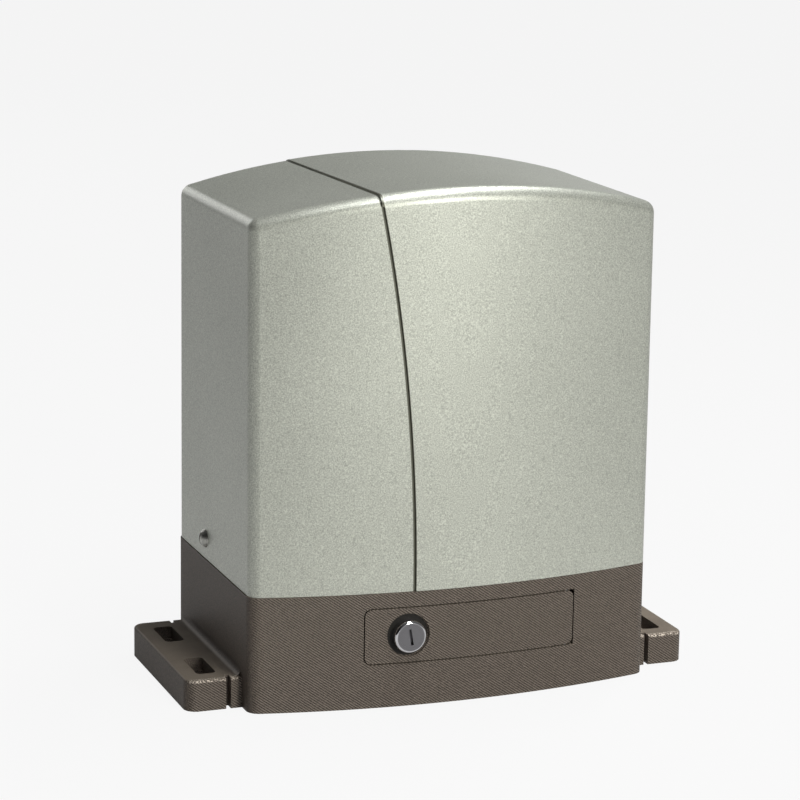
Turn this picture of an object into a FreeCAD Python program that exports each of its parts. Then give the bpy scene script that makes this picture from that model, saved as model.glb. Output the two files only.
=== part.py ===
import FreeCAD, Part
import math
import os

# Sliding gate motor, in millimetres.
# X runs to the right of someone facing the front, Y to the back (the gate and its rack), Z up.
# The origin is the middle of the base's underside.

# ---- Body: the outline that base and cover share ----
body_width = 266.8           # left wall to right wall
body_depth = 155.4           # rear wall to the line through the two front corners
front_bow_foot = 15.6        # how far the front stands out at its middle, at the ground
front_bow_head = 22.4        # and at the height of the cover's shoulders
front_lean = 3.6             # how far the front corners lean back at that height
corner_radius = 8.5          # upright corners
crown_height = 324.0         # top of the arch, at the middle
arch_rise = 18.6             # the arch's middle above its ends at the side walls

# ---- Base casting ----
floor_thickness = 5.0
hatch_band = 9.65            # wall above the hatch, up to the joint with the cover
lip_thickness = 2.0          # upright lip that the cover drops over
lip_height = 6.0
lip_gap = 0.4                # between lip and cover
joint_gap = 0.3              # hairline between base and cover

# ---- Feet, cast on the base ----
foot_reach = 35.6            # out of the side wall
foot_length = 127.0
foot_height = 19.75
foot_corner = 8.0
foot_edge = 1.5
foot_root = 4.0              # fillet from the foot's top up to the wall
slit_width = 3.0             # relief slit at each end of a foot
slit_depth = 6.0
slit_from_wall = 7.2
slot_width = 12.5            # anchor bolt slots
slot_length = 32.0
slot_spacing = 69.0
slot_from_wall = 18.8
mouth_depth = 8.0            # squarer mouth for the washer, above the round-ended slot
mouth_corner = 3.2

# ---- Cover moulding ----
cover_wall = 2.8
crown_edge = 8.0             # rounding all round the top
groove_radius = 1235.0       # swept groove that parts the narrow left panel from the right one
groove_foot_x = -31.5
groove_foot_z = 70.0
groove_width = 1.4
groove_depth = 1.4
panel_step = 0.6             # the left panel lies this much lower
groove_rear_x = -62.4        # where the groove ends on the rear edge

# ---- Cover screws, one each side ----
cover_screw_y = 17.0
cover_screw_rise = 13.5      # above the joint
cover_screw_head = 12.0
cover_screw_dome = 4.0
cover_screw_shank = 4.0
tab_half = 9.0               # upright tab with an open slot that takes the screw
tab_rise = 22.0
tab_thicken = 1.5
tab_slot_gap = 0.3

# ---- Release hatch in the base's front ----
hatch_left = -63.2
hatch_right = 78.0
hatch_height = 35.7
hatch_corner = 4.5
hatch_line = 0.8             # width of the gap all round
hatch_thickness = 3.0
hatch_seat_gap = 0.3
hatch_ledge = 2.5
hinge_edge = 4.5             # hinge axis to the panel's right edge
hinge_depth = 2.0            # hinge axis below the front surface
hinge_pin_radius = 1.0
hinge_boss_radius = 3.2
pocket_wall = 3.0
pocket_depth = 17.7          # behind the line through the front corners
pocket_relief = 1.5          # pocket taller than the hatch opening, above and below

# ---- Hatch lock ----
lock_x = -35.3
lock_dish_radius = 14.0
lock_dish_depth = 1.5
lock_boss_radius = 14.4
lock_boss_depth = 6.0
lock_head_radius = 10.4
lock_proud = 5.3
lock_body_radius = 9.5
lock_body_depth = 19.5
lock_rim = 1.8
lock_nut_flats = 24.0
lock_nut_height = 4.0
plug_radius = 7.0
key_slot_length = 10.5
key_slot_width = 1.8
key_slot_depth = 3.0
key_slot_tilt = 10.0
tongue_length = 17.0
tongue_width = 9.0
tongue_thickness = 2.0

# ---- Output axis: wheel, clutch and pinion turn about it ----
output_x = 12.0
shaft_radius = 10.0
shaft_front_radius = 8.5
running_gap = 0.05
body_gap = 0.4               # between pieces that move past each other

# ---- Pinion ----
pinion_module = 4.0
pinion_teeth = 14
pinion_width = 30.0
pinion_start = 4.3           # behind the rear wall
pressure_angle = math.radians(20)
key_width = 6.0
key_shaft_depth = 3.5
key_hub_depth = 2.8
key_end = 2.0

# ---- Worm gear ----
worm_module = 2.0
wheel_teeth = 30
worm_pitch_radius = 10.0
wheel_width = 12.0
tooth_share = 0.43           # tooth thickness as a share of the pitch, the rest is backlash
tooth_clearance = 0.4
flank_angle = math.radians(20)
thread_half_length = 19.0

# ---- Gearcase ----
case_wall = 6.0
wheel_room = 3.0             # round the wheel
case_drum_half = 22.0
case_nose = 11.0             # front nose with the front bearing, out of the drum
worm_room = 2.5
motor_seat_rise = 42.0       # top face, which carries the motor, above the output axis
motor_flange = 8.0
case_foot = 8.0

# ---- Motor ----
casing_radius = 50.0
casing_wall = 4.0
casing_height = 92.0
stator_radius = casing_radius - casing_wall
stator_height = 50.0
stator_slots = 18
rotor_radius = 27.0
air_gap = 0.5
shield_thickness = 6.0
tie_radius = 55.0
tie_screw_radius = 2.5

# ---- Electrical side ----
tray_side_gap = 15.4         # left wall to the tray
tray_motor_gap = 16.0        # tray to the motor's casing
tray_y = -4.0
tray_lift = 50.0             # above the output axis
tray_height = 130.0
tray_thickness = 3.0
board_margin = 5.0
board_thickness = 1.6
standoff_height = 8.0

# ---- Limit switch tower ----
tower_half = 27.0
tower_rise = 63.5            # above the joint with the cover
tower_corner = 5.0
tower_gap = 0.5
switch_half = 24.0
switch_depth = 26.0
switch_height = 24.0
switch_wall = 2.5
lever_radius = 2.5
lever_reach = 34.0

TWO_PI = 2 * math.pi

half_width = body_width / 2
rear = body_depth / 2
shoulder_height = crown_height - arch_rise
arch_radius = (half_width ** 2 + arch_rise ** 2) / (2 * arch_rise)
wall = cover_wall + lip_gap + lip_thickness      # the base's wall carries lip and cover

wheel_pitch_radius = worm_module * wheel_teeth / 2
wheel_tip_radius = wheel_pitch_radius + worm_module
centre_distance = wheel_pitch_radius + worm_pitch_radius
worm_x = output_x + centre_distance
worm_pitch = math.pi * worm_module
drum_radius = wheel_tip_radius + wheel_room + case_wall
output_z = floor_thickness + drum_radius         # the gearcase's drum touches the floor
motor_seat_z = output_z + motor_seat_rise

hatch_z = output_z                               # the knob sits in the middle of the hatch's height
hatch_low = hatch_z - hatch_height / 2
hatch_high = hatch_z + hatch_height / 2
pocket_back = -rear + pocket_depth               # inner face of the pocket behind the hatch
base_height = hatch_high + hatch_band            # ground to the joint with the cover
cover_base = base_height + joint_gap
lip_top = base_height + lip_height
tower_height = base_height + tower_rise


# ---------------------------------------------------------------- plain shapes

def block(x0, x1, y0, y1, z0, z1):
    """Box between two corners."""
    return Part.makeBox(x1 - x0, y1 - y0, z1 - z0, Vector(x0, y0, z0))


def Vector(x, y, z):
    """Point or direction."""
    return FreeCAD.Vector(x, y, z)


def rod_x(radius, x0, x1, y, z):
    """Cylinder along X."""
    return Part.makeCylinder(radius, x1 - x0, Vector(x0, y, z), Vector(1, 0, 0))


def rod_y(radius, y0, y1, x=output_x, z=output_z):
    """Cylinder along Y, on the output axis unless another is given."""
    return Part.makeCylinder(radius, y1 - y0, Vector(x, y0, z), Vector(0, 1, 0))


def rod_z(radius, z0, z1, x=worm_x, y=0.0):
    """Cylinder along Z, on the motor's axis unless another is given."""
    return Part.makeCylinder(radius, z1 - z0, Vector(x, y, z0), Vector(0, 0, 1))


def joined(first, *others):
    """One solid out of several, with its seams removed."""
    return first.multiFuse(list(others)).removeSplitter()


def runs_along(edge, axis):
    """Whether a straight edge is parallel to an axis."""
    if not isinstance(edge.Curve, Part.Line):
        return False
    return edge.tangentAt(edge.FirstParameter).cross(axis).Length < 1e-6


def rounded(shape, radius, axis):
    """The shape with the edges along one axis rounded."""
    return shape.makeFillet(radius, [edge for edge in shape.Edges if runs_along(edge, axis)])


def hexagon(flats, height, centre, axis):
    """Hexagonal prism across flats, from centre along axis (Y or X)."""
    corner = flats / math.sqrt(3)
    points = []
    for step in range(7):
        a = math.radians(60 * step)
        points.append(Vector(corner * math.cos(a), corner * math.sin(a), 0))
    prism = Part.Face(Part.makePolygon(points)).extrude(Vector(0, 0, height))
    turn = FreeCAD.Rotation(Vector(0, 0, 1), axis)
    prism.Placement = FreeCAD.Placement(centre, turn)
    return prism


def save(shapes):
    """One STEP file per node."""
    os.makedirs("parts", exist_ok=True)
    for name, shape in shapes.items():
        solids = shape.Solids
        whole = solids[0] if len(solids) == 1 else Part.makeCompound(solids)
        whole.exportStep("parts/" + name + ".step")
        print(f"{name:24s} solids {len(solids)}  valid {shape.isValid()}  {shape.Volume:12.1f}")


# ---------------------------------------------------------------- body outline

def at_height(z, foot, head):
    """A size that changes evenly from the ground to the shoulders."""
    return foot + (head - foot) * z / shoulder_height


def front_arc(z):
    """Radius of the bowed front at a height, and the Y of its centre."""
    bow = at_height(z, front_bow_foot, front_bow_head)
    radius = (half_width ** 2 + bow ** 2) / (2 * bow)
    corner_y = -rear + at_height(z, 0, front_lean)
    return radius, corner_y - bow + radius


def front_y(x, z):
    """Y of the front surface."""
    radius, centre_y = front_arc(z)
    return centre_y - math.sqrt(radius ** 2 - x ** 2)


def arc_edge(cx, cy, radius, start, end, z):
    """Arc in a level plane, from one angle to another."""
    points = []
    for a in (start, (start + end) / 2, end):
        points.append(Vector(cx + radius * math.cos(a), cy + radius * math.sin(a), z))
    return Part.Arc(*points).toShape()


def outline(z, inset):
    """Closed outline of the body at a height, drawn inwards by an inset."""
    radius, centre_y = front_arc(z)
    cx = half_width - corner_radius
    cy = centre_y - math.sqrt((radius - corner_radius) ** 2 - cx ** 2)
    tip = math.atan2(cy - centre_y, cx)
    r = corner_radius - inset
    side = half_width - inset
    back = rear - inset
    back_y = rear - corner_radius
    quarter = math.pi / 2
    edges = [
        Part.makeLine(Vector(cx, back, z), Vector(-cx, back, z)),
        arc_edge(-cx, back_y, r, quarter, 2 * quarter, z),
        Part.makeLine(Vector(-side, back_y, z), Vector(-side, cy, z)),
        arc_edge(-cx, cy, r, math.pi, math.pi - tip, z),
        arc_edge(0, centre_y, radius - inset, -math.pi - tip, tip, z),
        arc_edge(cx, cy, r, tip, 0, z),
        Part.makeLine(Vector(side, cy, z), Vector(side, back_y, z)),
        arc_edge(cx, back_y, r, 0, quarter, z),
    ]
    return Part.Wire(edges)


def body(z0, z1, inset=0.0):
    """Solid with the body's outline between two heights."""
    return Part.makeLoft([outline(z0, inset), outline(z1, inset)], True, True)


def domed_body(z0, inset):
    """The body up to its arched top, with the rounding round the top."""
    radius = arch_radius - inset
    axis_z = crown_height - arch_radius
    drum = Part.makeCylinder(radius, 2 * body_depth, Vector(0, -body_depth, axis_z), Vector(0, 1, 0))
    solid = body(z0, crown_height + 5, inset).common(drum)
    crown = []
    for edge in solid.Edges:
        ends = [vertex.Point for vertex in edge.Vertexes]
        if all(abs(math.hypot(p.x, p.z - axis_z) - radius) < 0.01 for p in ends):
            crown.append(edge)
    return solid.makeFillet(crown_edge - inset, crown)


# ---------------------------------------------------------------- cover

def groove_x(z):
    """Middle of the groove on the front, at a height."""
    rise = z - groove_foot_z
    return groove_foot_x - groove_radius + math.sqrt(groove_radius ** 2 - rise ** 2)


def side_of_groove(side):
    """Space to one side of the groove: side -1 is left, +1 is right."""
    shift = side * groove_width / 2
    far = side * (half_width + 10)
    turn_z = crown_height - 10
    middle_z = (groove_foot_z + turn_z) / 2
    low = Vector(groove_foot_x + shift, -rear - 60, groove_foot_z)
    middle = Vector(groove_x(middle_z) + shift, -rear - 60, middle_z)
    high = Vector(groove_x(turn_z) + shift, -rear - 60, turn_z)
    far_low = Vector(far, low.y, low.z)
    far_high = Vector(far, low.y, turn_z)
    front = Part.Wire([
        Part.Arc(low, middle, high).toShape(),
        Part.makeLine(high, far_high),
        Part.makeLine(far_high, far_low),
        Part.makeLine(far_low, low),
    ])
    front_part = Part.Face(front).extrude(Vector(0, rear + 60, 0))
    start = Vector(high.x, -rear - 60, turn_z)
    end = Vector(groove_rear_x + shift, rear + 10, turn_z)
    far_start = Vector(far, start.y, turn_z)
    far_end = Vector(far, end.y, turn_z)
    top = Part.makePolygon([start, end, far_end, far_start, start])
    top_part = Part.Face(top).extrude(Vector(0, 0, 20))
    x0, x1 = sorted((groove_rear_x + shift, far))
    rear_part = block(x0, x1, 0, rear + 10, groove_foot_z, turn_z)
    return front_part.multiFuse([top_part, rear_part])


def cover_shell():
    """Moulded cover: two panels parted by a groove, hollow, open below and round the tower."""
    right = domed_body(cover_base, 0).common(side_of_groove(1))
    left = domed_body(cover_base, panel_step).common(side_of_groove(-1))
    core = domed_body(cover_base, groove_depth)
    hollow = domed_body(cover_base - 1, cover_wall)
    shell = core.multiFuse([right, left]).cut(hollow)
    notch = block(output_x - tower_half - tower_gap, output_x + tower_half + tower_gap,
                  rear - 2 * cover_wall, rear + 5, cover_base - 5, tower_height + tower_gap)
    shell = shell.cut(rounded(notch, tower_corner, Vector(0, 1, 0)))
    for side in (-1, 1):
        x0, x1 = sorted((side * (half_width - 8), side * (half_width + 5)))
        hole = rod_x(cover_screw_shank / 2 + running_gap, x0, x1, cover_screw_y, cover_screw_z)
        shell = shell.cut(hole)
    return shell


cover_screw_z = base_height + cover_screw_rise
tab_inner = half_width - wall - tab_thicken
nut_outer = tab_inner - body_gap
nut_height = 3.2


def cover_screw(side):
    """Domed screw head outside the cover, with its shank through cover, tab and nut."""
    wall_x = half_width - (panel_step if side < 0 else 0)
    head_radius = cover_screw_head / 2
    ball = (head_radius ** 2 + cover_screw_dome ** 2) / (2 * cover_screw_dome)
    dome = Part.makeSphere(ball, Vector(wall_x + cover_screw_dome - ball, cover_screw_y, cover_screw_z))
    dome = dome.common(rod_x(head_radius, wall_x, wall_x + 2 * ball, cover_screw_y, cover_screw_z))
    drive = block(wall_x + cover_screw_dome - 1.5, wall_x + 10, cover_screw_y - 0.7, cover_screw_y + 0.7,
                  cover_screw_z - 4, cover_screw_z + 4)
    shank = rod_x(cover_screw_shank / 2, nut_outer - nut_height - 1, wall_x + 0.5,
                  cover_screw_y, cover_screw_z)
    screw = joined(dome.cut(drive), shank)
    return screw if side > 0 else screw.mirror(Vector(0, 0, 0), Vector(1, 0, 0))


def cover_nut(side):
    """Captive nut behind the tab."""
    nut = hexagon(7.0, nut_height, Vector(nut_outer - nut_height, cover_screw_y, cover_screw_z),
                  Vector(1, 0, 0))
    nut = nut.cut(rod_x(cover_screw_shank / 2, 0, half_width, cover_screw_y, cover_screw_z))
    return nut if side > 0 else nut.mirror(Vector(0, 0, 0), Vector(1, 0, 0))


# ---------------------------------------------------------------- base casting

def obround(x, y, width, length, z0, z1):
    """Round-ended slot along Y."""
    reach = (length - width) / 2
    straight = block(x - width / 2, x + width / 2, y - reach, y + reach, z0, z1)
    ends = [rod_z(width / 2, z0, z1, x, y + sign * reach) for sign in (-1, 1)]
    return joined(straight, *ends)


def foot(side):
    """Right foot with its two slots, end slits and root fillet; mirrored for the left."""
    inner = half_width - 1          # rooted in the wall
    outer = half_width + foot_reach
    end = foot_length / 2
    slab = block(inner, outer, -end, end, 0, foot_height)
    corners = [edge for edge in slab.Edges
               if runs_along(edge, Vector(0, 0, 1)) and edge.CenterOfMass.x > outer - 1]
    slab = slab.makeFillet(foot_corner, corners)
    rim = [edge for edge in slab.Edges
           if edge.BoundBox.ZMin > foot_height - 0.1 and edge.BoundBox.XMax > inner + 1]
    slab = slab.makeFillet(foot_edge, rim)
    root = block(inner, half_width + foot_root, -end + 3, end - 3, foot_height - 1,
                 foot_height + foot_root)
    scoop = Part.makeCylinder(foot_root, foot_length,
                              Vector(half_width + foot_root, -end, foot_height + foot_root),
                              Vector(0, 1, 0))
    piece = joined(slab, root.cut(scoop))
    slit_x = half_width + slit_from_wall
    for sign in (-1, 1):
        y0, y1 = sorted((sign * (end - slit_depth), sign * (end + 5)))
        slit = block(slit_x, slit_x + slit_width, y0, y1, -1, foot_height + 1)
        piece = piece.cut(slit)
        x, y = half_width + slot_from_wall, sign * slot_spacing / 2
        mouth = block(x - slot_width / 2, x + slot_width / 2, y - slot_length / 2, y + slot_length / 2,
                      foot_height - mouth_depth, foot_height + 1)
        piece = piece.cut(rounded(mouth, mouth_corner, Vector(0, 0, 1)))
        piece = piece.cut(obround(x, y, slot_width, slot_length, -1, foot_height + 1))
    return piece if side > 0 else piece.mirror(Vector(0, 0, 0), Vector(1, 0, 0))


def hatch_prism(grow, y0, y1):
    """Rounded outline of the hatch, grown by an amount, as a bar along Y."""
    bar = block(hatch_left - grow, hatch_right + grow, y0, y1, hatch_low - grow, hatch_high + grow)
    return rounded(bar, hatch_corner + grow, Vector(0, 1, 0))


hinge_x = hatch_right - hatch_line / 2 - hinge_edge
hinge_y = front_y(hinge_x, hatch_z) + hinge_depth
lock_y = front_y(lock_x, hatch_z)
tongue_y = lock_y + lock_body_depth + body_gap
ledge_end = hinge_x - hinge_boss_radius - 3
pocket_left = hatch_left - hatch_line / 2
pocket_right = hatch_right + hatch_line / 2
pocket_low = hatch_low - pocket_relief
pocket_high = hatch_high + pocket_relief
pocket_gap = 0.1             # to the inside of the wall
pocket_rib_gap = 8.0         # from the front corners' line back to the ribs
pocket_rib_inset = 20.0
far_front = -rear - 40
keeper_half = 6.0
keeper_lap = 2.6             # of the tongue's tip behind the keeper


def hatch_opening(casting):
    """Opening for the hatch in the front wall: seat and ledge for the panel, hole for its pin."""
    open_half = hatch_line / 2
    seat = hatch_prism(open_half, far_front, pocket_back)
    depth = hatch_thickness + hatch_seat_gap
    casting = casting.cut(seat.cut(body(0, base_height, depth)))
    low, high = hatch_low - open_half, hatch_high + open_half
    mouth = block(pocket_left + hatch_ledge, pocket_right, far_front, pocket_back,
                  low + hatch_ledge, high - hatch_ledge)
    relief = block(ledge_end, pocket_right, far_front, pocket_back, low, high)
    casting = casting.cut(mouth.fuse(relief))
    return casting.cut(rod_z(hinge_pin_radius, hatch_low - 4, hatch_high + 4, hinge_x, hinge_y))


def base_pocket():
    """Box behind the hatch's opening on two ribs, with the knob's bush and the tongue's keeper."""
    shell = block(pocket_left - pocket_wall, pocket_right + pocket_wall, far_front, pocket_back + pocket_wall,
                  pocket_low - pocket_wall, pocket_high + pocket_wall)
    room = block(pocket_left, pocket_right, far_front, pocket_back, pocket_low, pocket_high)
    keeper = block(lock_x - keeper_half, lock_x + keeper_half, far_front, tongue_y - body_gap,
                   hatch_z + tongue_length - keeper_lap, pocket_high + 1)
    bush = rod_y(knob_stem_radius + running_gap, pocket_back - 1, pocket_back + pocket_wall + 1)
    ribs = [block(x - pocket_wall / 2, x + pocket_wall / 2, -rear + pocket_rib_gap,
                  pocket_back + pocket_wall, floor_thickness, pocket_low - pocket_wall)
            for x in (pocket_left + pocket_rib_inset, pocket_right - pocket_rib_inset)]
    box = shell.cut(room).fuse(keeper).common(body(0, base_height, wall + pocket_gap))
    return joined(box, *ribs).cut(bush)


knob_stem_radius = 6.0
seal_radius = 16.0
seal_width = 7.0
grommet = {"x": -half_width + 75.4, "y": -rear + 41.7, "hole": 12.0, "bore": 7.0, "flange": 16.0}
case_left = output_x - 57.0
case_right = worm_x + 49.0
case_screws = [(x, y) for x in (case_left + 7, case_right - 7) for y in (-16, 16)]


def pad_space():
    """Everything farther out than the slits in the feet."""
    far = half_width + foot_reach + 10
    reach = half_width + slit_from_wall + slit_width
    whole, inner = [block(-x, x, -body_depth, body_depth, -1, base_height) for x in (far, reach)]
    return whole.cut(inner)


def mounting_feet():
    """Outer parts of the two feet, with the slots for the anchor bolts."""
    return Part.makeCompound([foot(side).common(pad_space()) for side in (-1, 1)])


def base_housing():
    """Die-cast base: tub with lip, roots of the feet, hatch opening, rear boss, tower, screw tabs."""
    casting = body(0, base_height).multiFuse([body(base_height - 1, lip_top, cover_wall + lip_gap)])
    casting = casting.cut(body(floor_thickness, lip_top + 1, wall))
    boss = rod_y(seal_radius + 6, rear - boss_depth, rear)
    tower = block(output_x - tower_half, output_x + tower_half, rear - wall, rear,
                  floor_thickness, tower_height)
    tower = rounded(tower, tower_corner, Vector(0, 1, 0))
    roots = [foot(side).cut(pad_space()) for side in (-1, 1)]
    casting = casting.multiFuse([boss, tower, *roots])
    casting = casting.cut(rod_y(seal_radius, rear - seal_width, rear + 1))
    casting = casting.cut(rod_y(shaft_radius + 1, rear - boss_depth - 1, rear))
    casting = hatch_opening(casting)
    for side in (-1, 1):
        x0, x1 = sorted((side * tab_inner, side * (half_width - cover_wall - lip_gap)))
        tab = block(x0, x1, cover_screw_y - tab_half, cover_screw_y + tab_half,
                    base_height - 8, base_height + tab_rise)
        tab = rounded(tab, 3.0, Vector(1, 0, 0))
        slot_half = cover_screw_shank / 2 + tab_slot_gap
        slot = rod_x(slot_half, x0 - 1, x1 + 1, cover_screw_y, cover_screw_z)
        way_in = block(x0 - 1, x1 + 1, cover_screw_y - slot_half, cover_screw_y + slot_half,
                       cover_screw_z, base_height + tab_rise + 1)
        casting = casting.fuse(tab).cut(slot.fuse(way_in))
    casting = casting.cut(rod_z(grommet["hole"], -1, floor_thickness + 1, grommet["x"], grommet["y"]))
    for x, y in case_screws:
        casting = casting.cut(rod_z(2.5, 1, floor_thickness + 1, x, y))
    return casting.removeSplitter()


def cable_grommet():
    """Rubber grommet in the floor, flush with the underside."""
    x, y = grommet["x"], grommet["y"]
    body_part = rod_z(grommet["hole"], 0.5, floor_thickness, x, y)
    flange = rod_z(grommet["flange"], floor_thickness, floor_thickness + 4, x, y)
    rim = [edge for edge in flange.Edges if edge.BoundBox.ZMin > floor_thickness + 3.9]
    flange = flange.makeChamfer(1.2, rim)
    return joined(body_part, flange).cut(rod_z(grommet["bore"], 0, floor_thickness + 5, x, y))


# ---------------------------------------------------------------- hatch and lock

def hatch_panel():
    """Curved panel with hinge barrel, lock dish and boss."""
    grow = -hatch_line / 2
    front = -rear - 40
    skin = body(0, base_height).cut(body(0, base_height, hatch_thickness))
    panel = hatch_prism(grow, front, pocket_back).common(skin)
    barrel = rod_z(hinge_boss_radius, hatch_low - grow, hatch_high + grow, hinge_x, hinge_y)
    barrel = barrel.common(hatch_prism(grow, front, pocket_back)).common(body(0, base_height))
    boss = rod_y(lock_boss_radius, lock_y + 1, lock_y + lock_boss_depth, lock_x, hatch_z)
    panel = joined(panel, barrel, boss)
    panel = panel.cut(rod_y(lock_dish_radius, front, lock_y + lock_dish_depth, lock_x, hatch_z))
    panel = panel.cut(rod_y(lock_body_radius, front, pocket_back, lock_x, hatch_z))
    bore = rod_z(hinge_pin_radius + running_gap, hatch_low - 4, hatch_high + 4, hinge_x, hinge_y)
    return panel.cut(bore)


def hatch_pin():
    """Hinge pin held in the casting above and below the panel."""
    return rod_z(hinge_pin_radius, hatch_low - 4, hatch_high + 4, hinge_x, hinge_y)


def lock_barrel():
    """Lock body with its rounded head."""
    head = rod_y(lock_head_radius, lock_y - lock_proud, lock_y + lock_dish_depth, lock_x, hatch_z)
    rim = [edge for edge in head.Edges if edge.BoundBox.YMax < lock_y - lock_proud + 0.1]
    head = head.makeFillet(lock_rim, rim)
    stem = rod_y(lock_body_radius, lock_y, lock_y + lock_body_depth, lock_x, hatch_z)
    bore = rod_y(plug_radius + running_gap, lock_y - 20, pocket_back, lock_x, hatch_z)
    return joined(head, stem).cut(bore)


def lock_nut():
    """Nut that clamps the lock to the hatch."""
    nut = hexagon(lock_nut_flats, lock_nut_height,
                  Vector(lock_x, lock_y + lock_boss_depth, hatch_z), Vector(0, 1, 0))
    return nut.cut(rod_y(lock_body_radius, lock_y, pocket_back, lock_x, hatch_z))


def lock_plug():
    """Turning plug with the key slot in its face."""
    face_y = lock_y - lock_proud
    plug = rod_y(plug_radius, face_y, tongue_y, lock_x, hatch_z)
    slot = block(-key_slot_width / 2, key_slot_width / 2, -1, key_slot_depth,
                 -key_slot_length / 2, key_slot_length / 2)
    slot.rotate(Vector(0, 0, 0), Vector(0, 1, 0), -key_slot_tilt)
    slot.translate(Vector(lock_x, face_y, hatch_z))
    return plug.cut(slot)


def lock_tongue():
    """Flat tongue on the plug's rear end; it points left when the lock is open."""
    plate = block(lock_x - tongue_length, lock_x + tongue_width / 2, tongue_y,
                  tongue_y + tongue_thickness, hatch_z - tongue_width / 2, hatch_z + tongue_width / 2)
    plate = rounded(plate, 2.0, Vector(0, 1, 0))
    return plate.cut(rod_y(2.0, tongue_y - 1, tongue_y + 5, lock_x, hatch_z))


def lock_tongue_screw():
    """Screw that holds the tongue to the plug."""
    back = tongue_y + tongue_thickness
    shank = rod_y(2.0, tongue_y, back, lock_x, hatch_z)
    return joined(shank, rod_y(3.5, back, back + 2.4, lock_x, hatch_z))


# ---------------------------------------------------------------- release knob and clutch

knob_radius = 14.0
knob_depth = 16.5
knob_disc = 6.0
knob_back = pocket_back - 10.0
knob_face = knob_back - knob_depth
stem_end = pocket_back + pocket_wall + 3.0
clutch_travel = 4.0
sleeve_start = 9.4
sleeve_length = 12.0
sleeve_radius = 17.5
dog_length = 3.4
dog_count = 4
dog_angle = 30.0
dog_play = 2.5
cross_pin_radius = 2.0
rod_radius = 4.0
hub_rear = 9.0


def release_knob():
    """Knob with a grip bar; its stem goes through the pocket's rear wall."""
    disc = rod_y(knob_radius, knob_back - knob_disc, knob_back)
    bar = block(output_x - 3.5, output_x + 3.5, knob_face, knob_back,
                output_z - knob_radius + 1.5, output_z + knob_radius - 1.5)
    bar = rounded(bar, 2.0, Vector(0, 1, 0))
    neck = rod_y(knob_stem_radius + 2, knob_back, pocket_back - body_gap)
    stem = rod_y(knob_stem_radius, pocket_back - 1, stem_end)
    return joined(disc, bar, neck, stem)


def knob_ring():
    """Retaining ring that stops the stem from pulling out."""
    y0 = pocket_back + pocket_wall + body_gap
    return rod_y(knob_stem_radius + 3, y0, y0 + 1.5).cut(rod_y(knob_stem_radius, y0 - 1, y0 + 3))


def dog(angle, width, inner, outer, y0, y1):
    """Ring segment about the output axis, centred on an angle in degrees."""
    start = math.radians(angle - width / 2)
    end = math.radians(angle + width / 2)

    def point(radius, a):
        return Vector(output_x + radius * math.cos(a), y0, output_z + radius * math.sin(a))

    middle = (start + end) / 2
    wire = Part.Wire([
        Part.Arc(point(outer, start), point(outer, middle), point(outer, end)).toShape(),
        Part.makeLine(point(outer, end), point(inner, end)),
        Part.Arc(point(inner, end), point(inner, middle), point(inner, start)).toShape(),
        Part.makeLine(point(inner, start), point(outer, start)),
    ])
    return Part.Face(wire).extrude(Vector(0, y1 - y0, 0))


def dog_angles():
    """Angles of the clutch's dogs."""
    return [360.0 * step / dog_count + 45 for step in range(dog_count)]


def clutch_sleeve():
    """Sliding sleeve whose dogs drive the shaft from the wheel's hub."""
    ring = rod_y(sleeve_radius, sleeve_start, sleeve_start + sleeve_length)
    dogs = [dog(a, dog_angle, shaft_radius + 1, sleeve_radius, sleeve_start - dog_length,
                sleeve_start + 1) for a in dog_angles()]
    sleeve = joined(ring, *dogs).cut(rod_y(shaft_radius + running_gap, 0, 40))
    pin_y = sleeve_start + sleeve_length / 2
    return sleeve.cut(rod_x(cross_pin_radius, output_x - 30, output_x + 30, pin_y, output_z))


def clutch_pin():
    """Cross pin that joins sleeve and rod through the shaft's slot."""
    pin_y = sleeve_start + sleeve_length / 2
    reach = sleeve_radius - 0.5
    return rod_x(cross_pin_radius, output_x - reach, output_x + reach, pin_y, output_z)


def release_rod():
    """Push rod from the knob into the hollow shaft."""
    pin_y = sleeve_start + sleeve_length / 2
    bar = rod_y(rod_radius - running_gap, stem_end + 0.3, pin_y + 4)
    return bar.cut(rod_x(cross_pin_radius, output_x - 9, output_x + 9, pin_y, output_z))


spring_wire = 1.2            # half the height and width of its flat-sided wire
spring_turns = 4


def clutch_spring():
    """Flat-wire spring round the shaft that pushes the sleeve back into the wheel."""
    start = sleeve_start + sleeve_length + 0.3 + spring_wire
    length = output_rear_bearing_y - start - spring_wire
    coil_radius = shaft_radius + 3.0
    helix = Part.makeHelix(length / spring_turns, length, coil_radius)
    section = Part.makePolygon([
        Vector(coil_radius + dx * spring_wire, 0, dz * spring_wire)
        for dx, dz in ((-1, -1), (1, -1), (1, 1), (-1, 1), (-1, -1))
    ])
    spring = Part.Wire(helix.Edges).makePipeShell([section], True, True)
    spring.rotate(Vector(0, 0, 0), Vector(1, 0, 0), -90)
    spring.translate(Vector(output_x, start, output_z))
    return spring


# ---------------------------------------------------------------- output shaft and pinion

boss_depth = 9.7             # of the boss inside the rear wall
pinion_y = rear + pinion_start
shaft_end = pinion_y + pinion_width
front_bearing_width = 10.0
rear_bearing_width = 12.0
bearing_lip = 4.0            # of the gearcase, outside the rear bearing
washer_thickness = 3.0
output_front_bearing_y = -case_drum_half - case_nose + 5.0
output_rear_bearing_y = rear - boss_depth - bearing_lip - rear_bearing_width


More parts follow.
